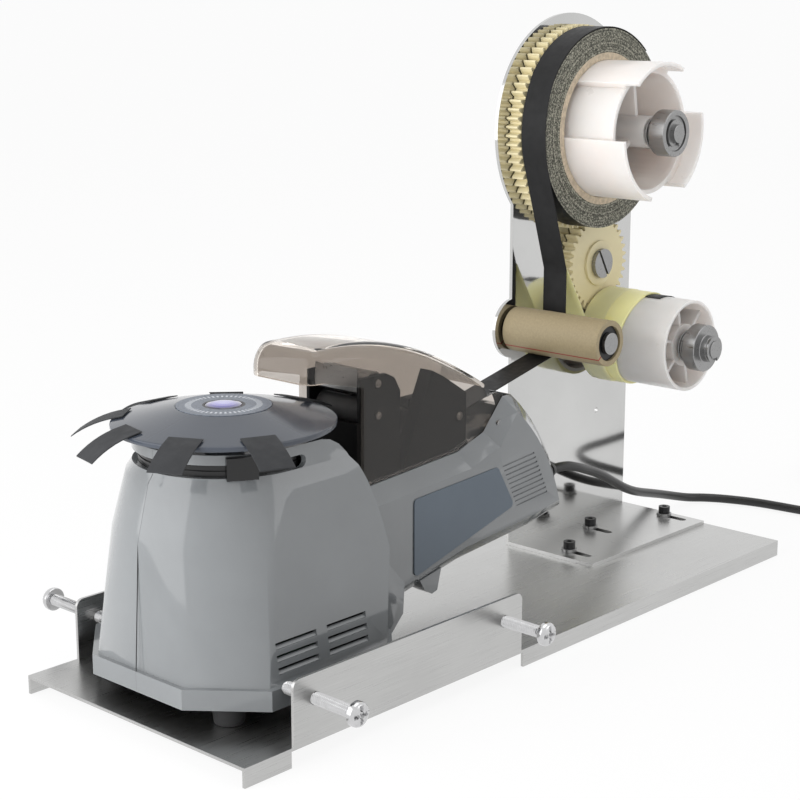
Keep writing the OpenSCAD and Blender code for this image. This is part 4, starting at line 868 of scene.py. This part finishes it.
SHARP, BEVEL_STEPS, BLOCK_BEVEL = 40, 2, 0.4
DECK_FROM, DECK_TO = (36.0, 70.0), (150.0, 78.0)
BLOCK_HALF, BLOCK_END, BLOCK_FLOOR, PIN_CLEAR = 18.0, 147.5, 84.0, 99.2
NEAR_IN, FAR_IN, FLOOR_LAP = -10.0, 12.0, 0.3
FEED_END = -18.5


def bevel(obj, width):
    """Narrow round edges, with a width in millimetres."""
    mod = obj.modifiers.new("edge", "BEVEL")
    mod.limit_method, mod.angle_limit = "ANGLE", math.radians(SHARP)
    mod.width, mod.segments, mod.use_clamp_overlap = width * MM, BEVEL_STEPS, True
    mod.harden_normals = True


def deck(u):
    """Height of the sloping deck."""
    (u0, w0), (u1, w1) = DECK_FROM, DECK_TO
    return w0 + (u - u0) * (w1 - w0) / (u1 - u0)


def prism(bm, outline, v0, v1):
    """Straight block between two sides of the machine, from an outline seen from the side."""
    near, far = ([bm.verts.new(machine(u, v, w)) for u, w in outline] for v in (v0, v1))
    bm.faces.new(near)
    bm.faces.new(far)
    for k in range(len(outline)):
        bm.faces.new((near[k - 1], near[k], far[k], far[k - 1]))


heel = [(BLOCK_END, 80.86), (136, deck(136))]
near_cheek = [(99.5, deck(99.5)), (121, 121), (130, 116.5), (BLOCK_END, 105.5), *heel]
far_cheek = [(135, deck(135)), (136.8, PIN_CLEAR), (BLOCK_END, PIN_CLEAR), *heel]
block_floor = [(113, deck(113)), (114, BLOCK_FLOOR), (BLOCK_END - 0.2, BLOCK_FLOOR), *heel]
bm = bmesh.new()
prism(bm, near_cheek, -BLOCK_HALF, NEAR_IN)
prism(bm, block_floor, NEAR_IN - FLOOR_LAP, FAR_IN + FLOOR_LAP)
prism(bm, far_cheek, FAR_IN, BLOCK_HALF)
bmesh.ops.recalc_face_normals(bm, faces=bm.faces)
block = finished(bm, "guide_cheeks")
bevel(add("guide_cheeks", block, "stand", "black_plastic", "guide_block", look="frame_black"), BLOCK_BEVEL)
for name, body, (u, w), v, r in (
    ("guide_pin_screw", "stand", GUIDE, -BLOCK_HALF, 2.2),
    ("feed_shaft_end", "feed", FEED, FEED_END, 1.8),
):
    head = [(-0.3, 0.1), (-0.3, r), (0.35, r), (0.6, r - 0.5), (0.7, 0.1)]
    add(name, lathe(head, machine(u, v, w), (0, -1, 0), 24), body, "steel")

# Louvres in the vents, with a section as (depth, rise), and the dark parting line on the drum's front

VENT_FROM, VENT_L, LOUVRES, LOUVRE_W, LOUVRE_STEP = (-23.0, 8.5), 25, 3, 14, 5.5
LOUVRE = ((0.5, -0.1), (0.35, 0.25), (0.8, 0.9), (1.7, 1.5), (1.9, 1.2), (1.5, 0.6), (1.4, -0.1))
SIDE_HALF, SIDE_FROM, SIDE_LEAN = 58.9, 9.5, 0.16
SEAM_FRONT, SEAM_R, SEAM_SINK, SEAM_PER_METRE = -40, 0.00022, Vector((0.0002, 0, 0)), 20000


def side_y(w):
    """Half width of the drum's leaning side at a height."""
    return SIDE_HALF - SIDE_LEAN * (w - SIDE_FROM)


for side in (-1, 1):
    for group, u in enumerate(VENT_FROM):
        for k in range(LOUVRES):
            w = LOUVRE_W + LOUVRE_STEP * k
            rows = [
                [machine(u + VENT_L * e, side * (side_y(w) - d), w + h) for d, h in LOUVRE]
                for e in (0, 0.02, 0.5, 0.98, 1)
            ]
            add(f"louvre_{'n' if side < 0 else 'f'}{group}{k}", grid(rows), "stand", "body_grey", smooth=40)
near_shell = frame["nodes"]["body_shell_near"].data
seam = {}
for poly in near_shell.polygons:
    if poly.normal.x < -0.5:
        for k in poly.vertices:
            q = near_shell.vertices[k].co
            if abs(q.y) < 1e-6 and q.x < machine(SEAM_FRONT, 0, 0).x:
                key = round(q.z * SEAM_PER_METRE)
                if key not in seam or q.x < seam[key].x:
                    seam[key] = q.copy()
seam_line = [seam[key] + SEAM_SINK for key in sorted(seam)]
add("parting_line", wire(seam_line, SEAM_R, 8), "stand", "black_plastic", smooth=60)

# CAD nodes that stay: softened copies where an edge would look razor sharp, or the node itself


def soften(node, slot, width, look=None):
    """Copy of a node with narrow round edges, in place of the node."""
    bm = bmesh.new()
    bm.from_mesh(frame["nodes"][node].data)
    bmesh.ops.remove_doubles(bm, verts=bm.verts, dist=2e-6)
    bmesh.ops.dissolve_limit(bm, angle_limit=math.radians(0.4), verts=bm.verts, edges=bm.edges)
    mesh = finished(bm, node + "_soft")
    bevel(add(node + "_dressed", mesh, body_of(node), slot, node, smooth=SHARP, look=look), width)


SOFT = {
    "base_plate": ("stainless", 0.35), "tower_bracket": ("polished", 0.4),
    "bottom_pan": ("black_plastic", 0.5), "rubber_feet": ("foot_rubber", 0.6),
    "reel_hub": ("white_plastic", 0.35), "rewind_spool": ("white_plastic", 0.35),
    "reel_knob": ("steel", 0.5), "rewind_knob": ("steel", 0.5),
    "feed_frame": ("black_plastic", 0.3, "frame_black"), "idler_gear": ("nylon", 0.2),
    "reel_gear": ("nylon", 0.2), "rewind_gear": ("nylon", 0.2),
    "foot_screws": ("black_steel", 0.25), "foot_washers": ("steel", 0.15),
    "idler_screw": ("steel", 0.3), "guide_roller": ("roller_tan", 0.3),
    "roller_bearings": ("steel", 0.3, "black_steel"), "roller_bolt": ("steel", 0.4),
    "reel_stud": ("steel", 0.3), "rewind_stud": ("steel", 0.3),
    "switch_body": ("black_plastic", 0.4), "switch_rocker": ("rocker_red", 0.5),
    "body_shell_near": ("body_grey", 0.35), "body_shell_far": ("body_grey", 0.35),
    "side_panels": ("panel_blue", 0.2),
}
for node, finish in SOFT.items():
    soften(node, *finish)
KEEP = {
    "control_board": "board_green", "carousel_motor": "motor_grey", "shaft_bush": "bronze",
    "slot_lining": "slot_black", "tape_sensor": "slot_black", "ring_insert": "ring_grey",
    "lens_cap": "lens_violet", "carousel_shaft": "steel", "hinge_pins": "steel", "feed_roller": "foot_rubber",
    "pinch_roller": "steel", "cutter_blade": "steel", "guide_pin": "steel", "feed_motor": "motor_grey",
    "tape_core": "card", "reel_clip": "steel", "rewind_clip": "steel", "splice_patch": "tape_black",
}
for node, slot in KEEP.items():
    mesh = frame["nodes"][node].data
    mesh.materials.clear()
    mesh.materials.append(LOOKS[slot].mat)

# Floor, background and light

FLOOR_HALF, FLOOR_Z, FLOOR_GLOW = 90, -0.0004, 0.88
WORLD_LIGHT, WORLD_SEEN = 0.76, 1.0


def shown(tree):
    """1 for rays from the camera, from a mirror or through glass, and 0 for other light."""
    path = tree.nodes.new("ShaderNodeLightPath")
    total = path.outputs["Is Camera Ray"]
    for kind in ("Is Glossy Ray", "Is Transmission Ray"):
        n = tree.nodes.new("ShaderNodeMath")
        n.operation = "MAXIMUM"
        tree.links.new(total, n.inputs[0])
        tree.links.new(path.outputs[kind], n.inputs[1])
        total = n.outputs[0]
    return total


floor = Shade("floor", (240, 240, 240), 0.6)
floor.vary(floor.noise(3, 2), 0.995, 1.0)
tree = floor.tree
glow = floor.node("Emission", Color=(1, 1, 1, 1), Strength=1.0)
mix = tree.nodes.new("ShaderNodeMixShader")
tree.links.new(floor.math("MULTIPLY", shown(tree), FLOOR_GLOW), mix.inputs[0])
tree.links.new(floor.bsdf.outputs[0], mix.inputs[1])
tree.links.new(glow.outputs[0], mix.inputs[2])
tree.links.new(mix.outputs[0], tree.nodes["Material Output"].inputs["Surface"])
mesh = bpy.data.meshes.new("floor")
corners = [(x * FLOOR_HALF, y * FLOOR_HALF, FLOOR_Z) for x, y in ((-1, -1), (1, -1), (1, 1), (-1, 1))]
mesh.from_pydata(corners, [], [(0, 1, 2, 3)])
mesh.materials.append(floor.mat)
ground = bpy.data.objects.new("floor", mesh)
scene.collection.objects.link(ground)

world = bpy.data.worlds.new("studio")
scene.world = world
world.use_nodes = True
tree = world.node_tree
back = tree.nodes["Background"]
back.inputs["Color"].default_value = (1, 1, 1, 1)
level = tree.nodes.new("ShaderNodeMapRange")
level.inputs["To Min"].default_value = WORLD_LIGHT
level.inputs["To Max"].default_value = WORLD_SEEN
tree.links.new(shown(tree), level.inputs["Value"])
tree.links.new(level.outputs[0], back.inputs["Strength"])


def softbox(name, at, aim, width, height, radiance, mirrored=True):
    """Even area lamp; one that isn't mirrored only adds light."""
    data = bpy.data.lights.new(name, "AREA")
    data.shape, data.size, data.size_y = "RECTANGLE", width, height
    data.energy = radiance * math.pi * width * height
    lamp = bpy.data.objects.new(name, data)
    lamp.location = at
    lamp.rotation_mode = "QUATERNION"
    lamp.rotation_quaternion = (Vector(aim) - Vector(at)).to_track_quat("-Z", "Y")
    lamp.visible_camera, lamp.visible_glossy = False, mirrored
    scene.collection.objects.link(lamp)


softbox("left_box", (-1.05, 0.42, 0.63), (-0.143, 0, 0.5), 1.25, 1.25, 1.2)
softbox("left_fill", (-0.62, 0.03, 0.2), (-0.143, 0, 0.08), 0.4, 0.4, 4.4, False)
softbox("top_box", (0.1, -0.2, 1.9), (0.05, 0, 0.1), 1.4, 1.4, 1.0)
softbox("right_box", (1.0, -1.7, 0.9), (0.05, 0, 0.1), 1.2, 1.2, 0.8)

scene.view_settings.view_transform = "Standard"
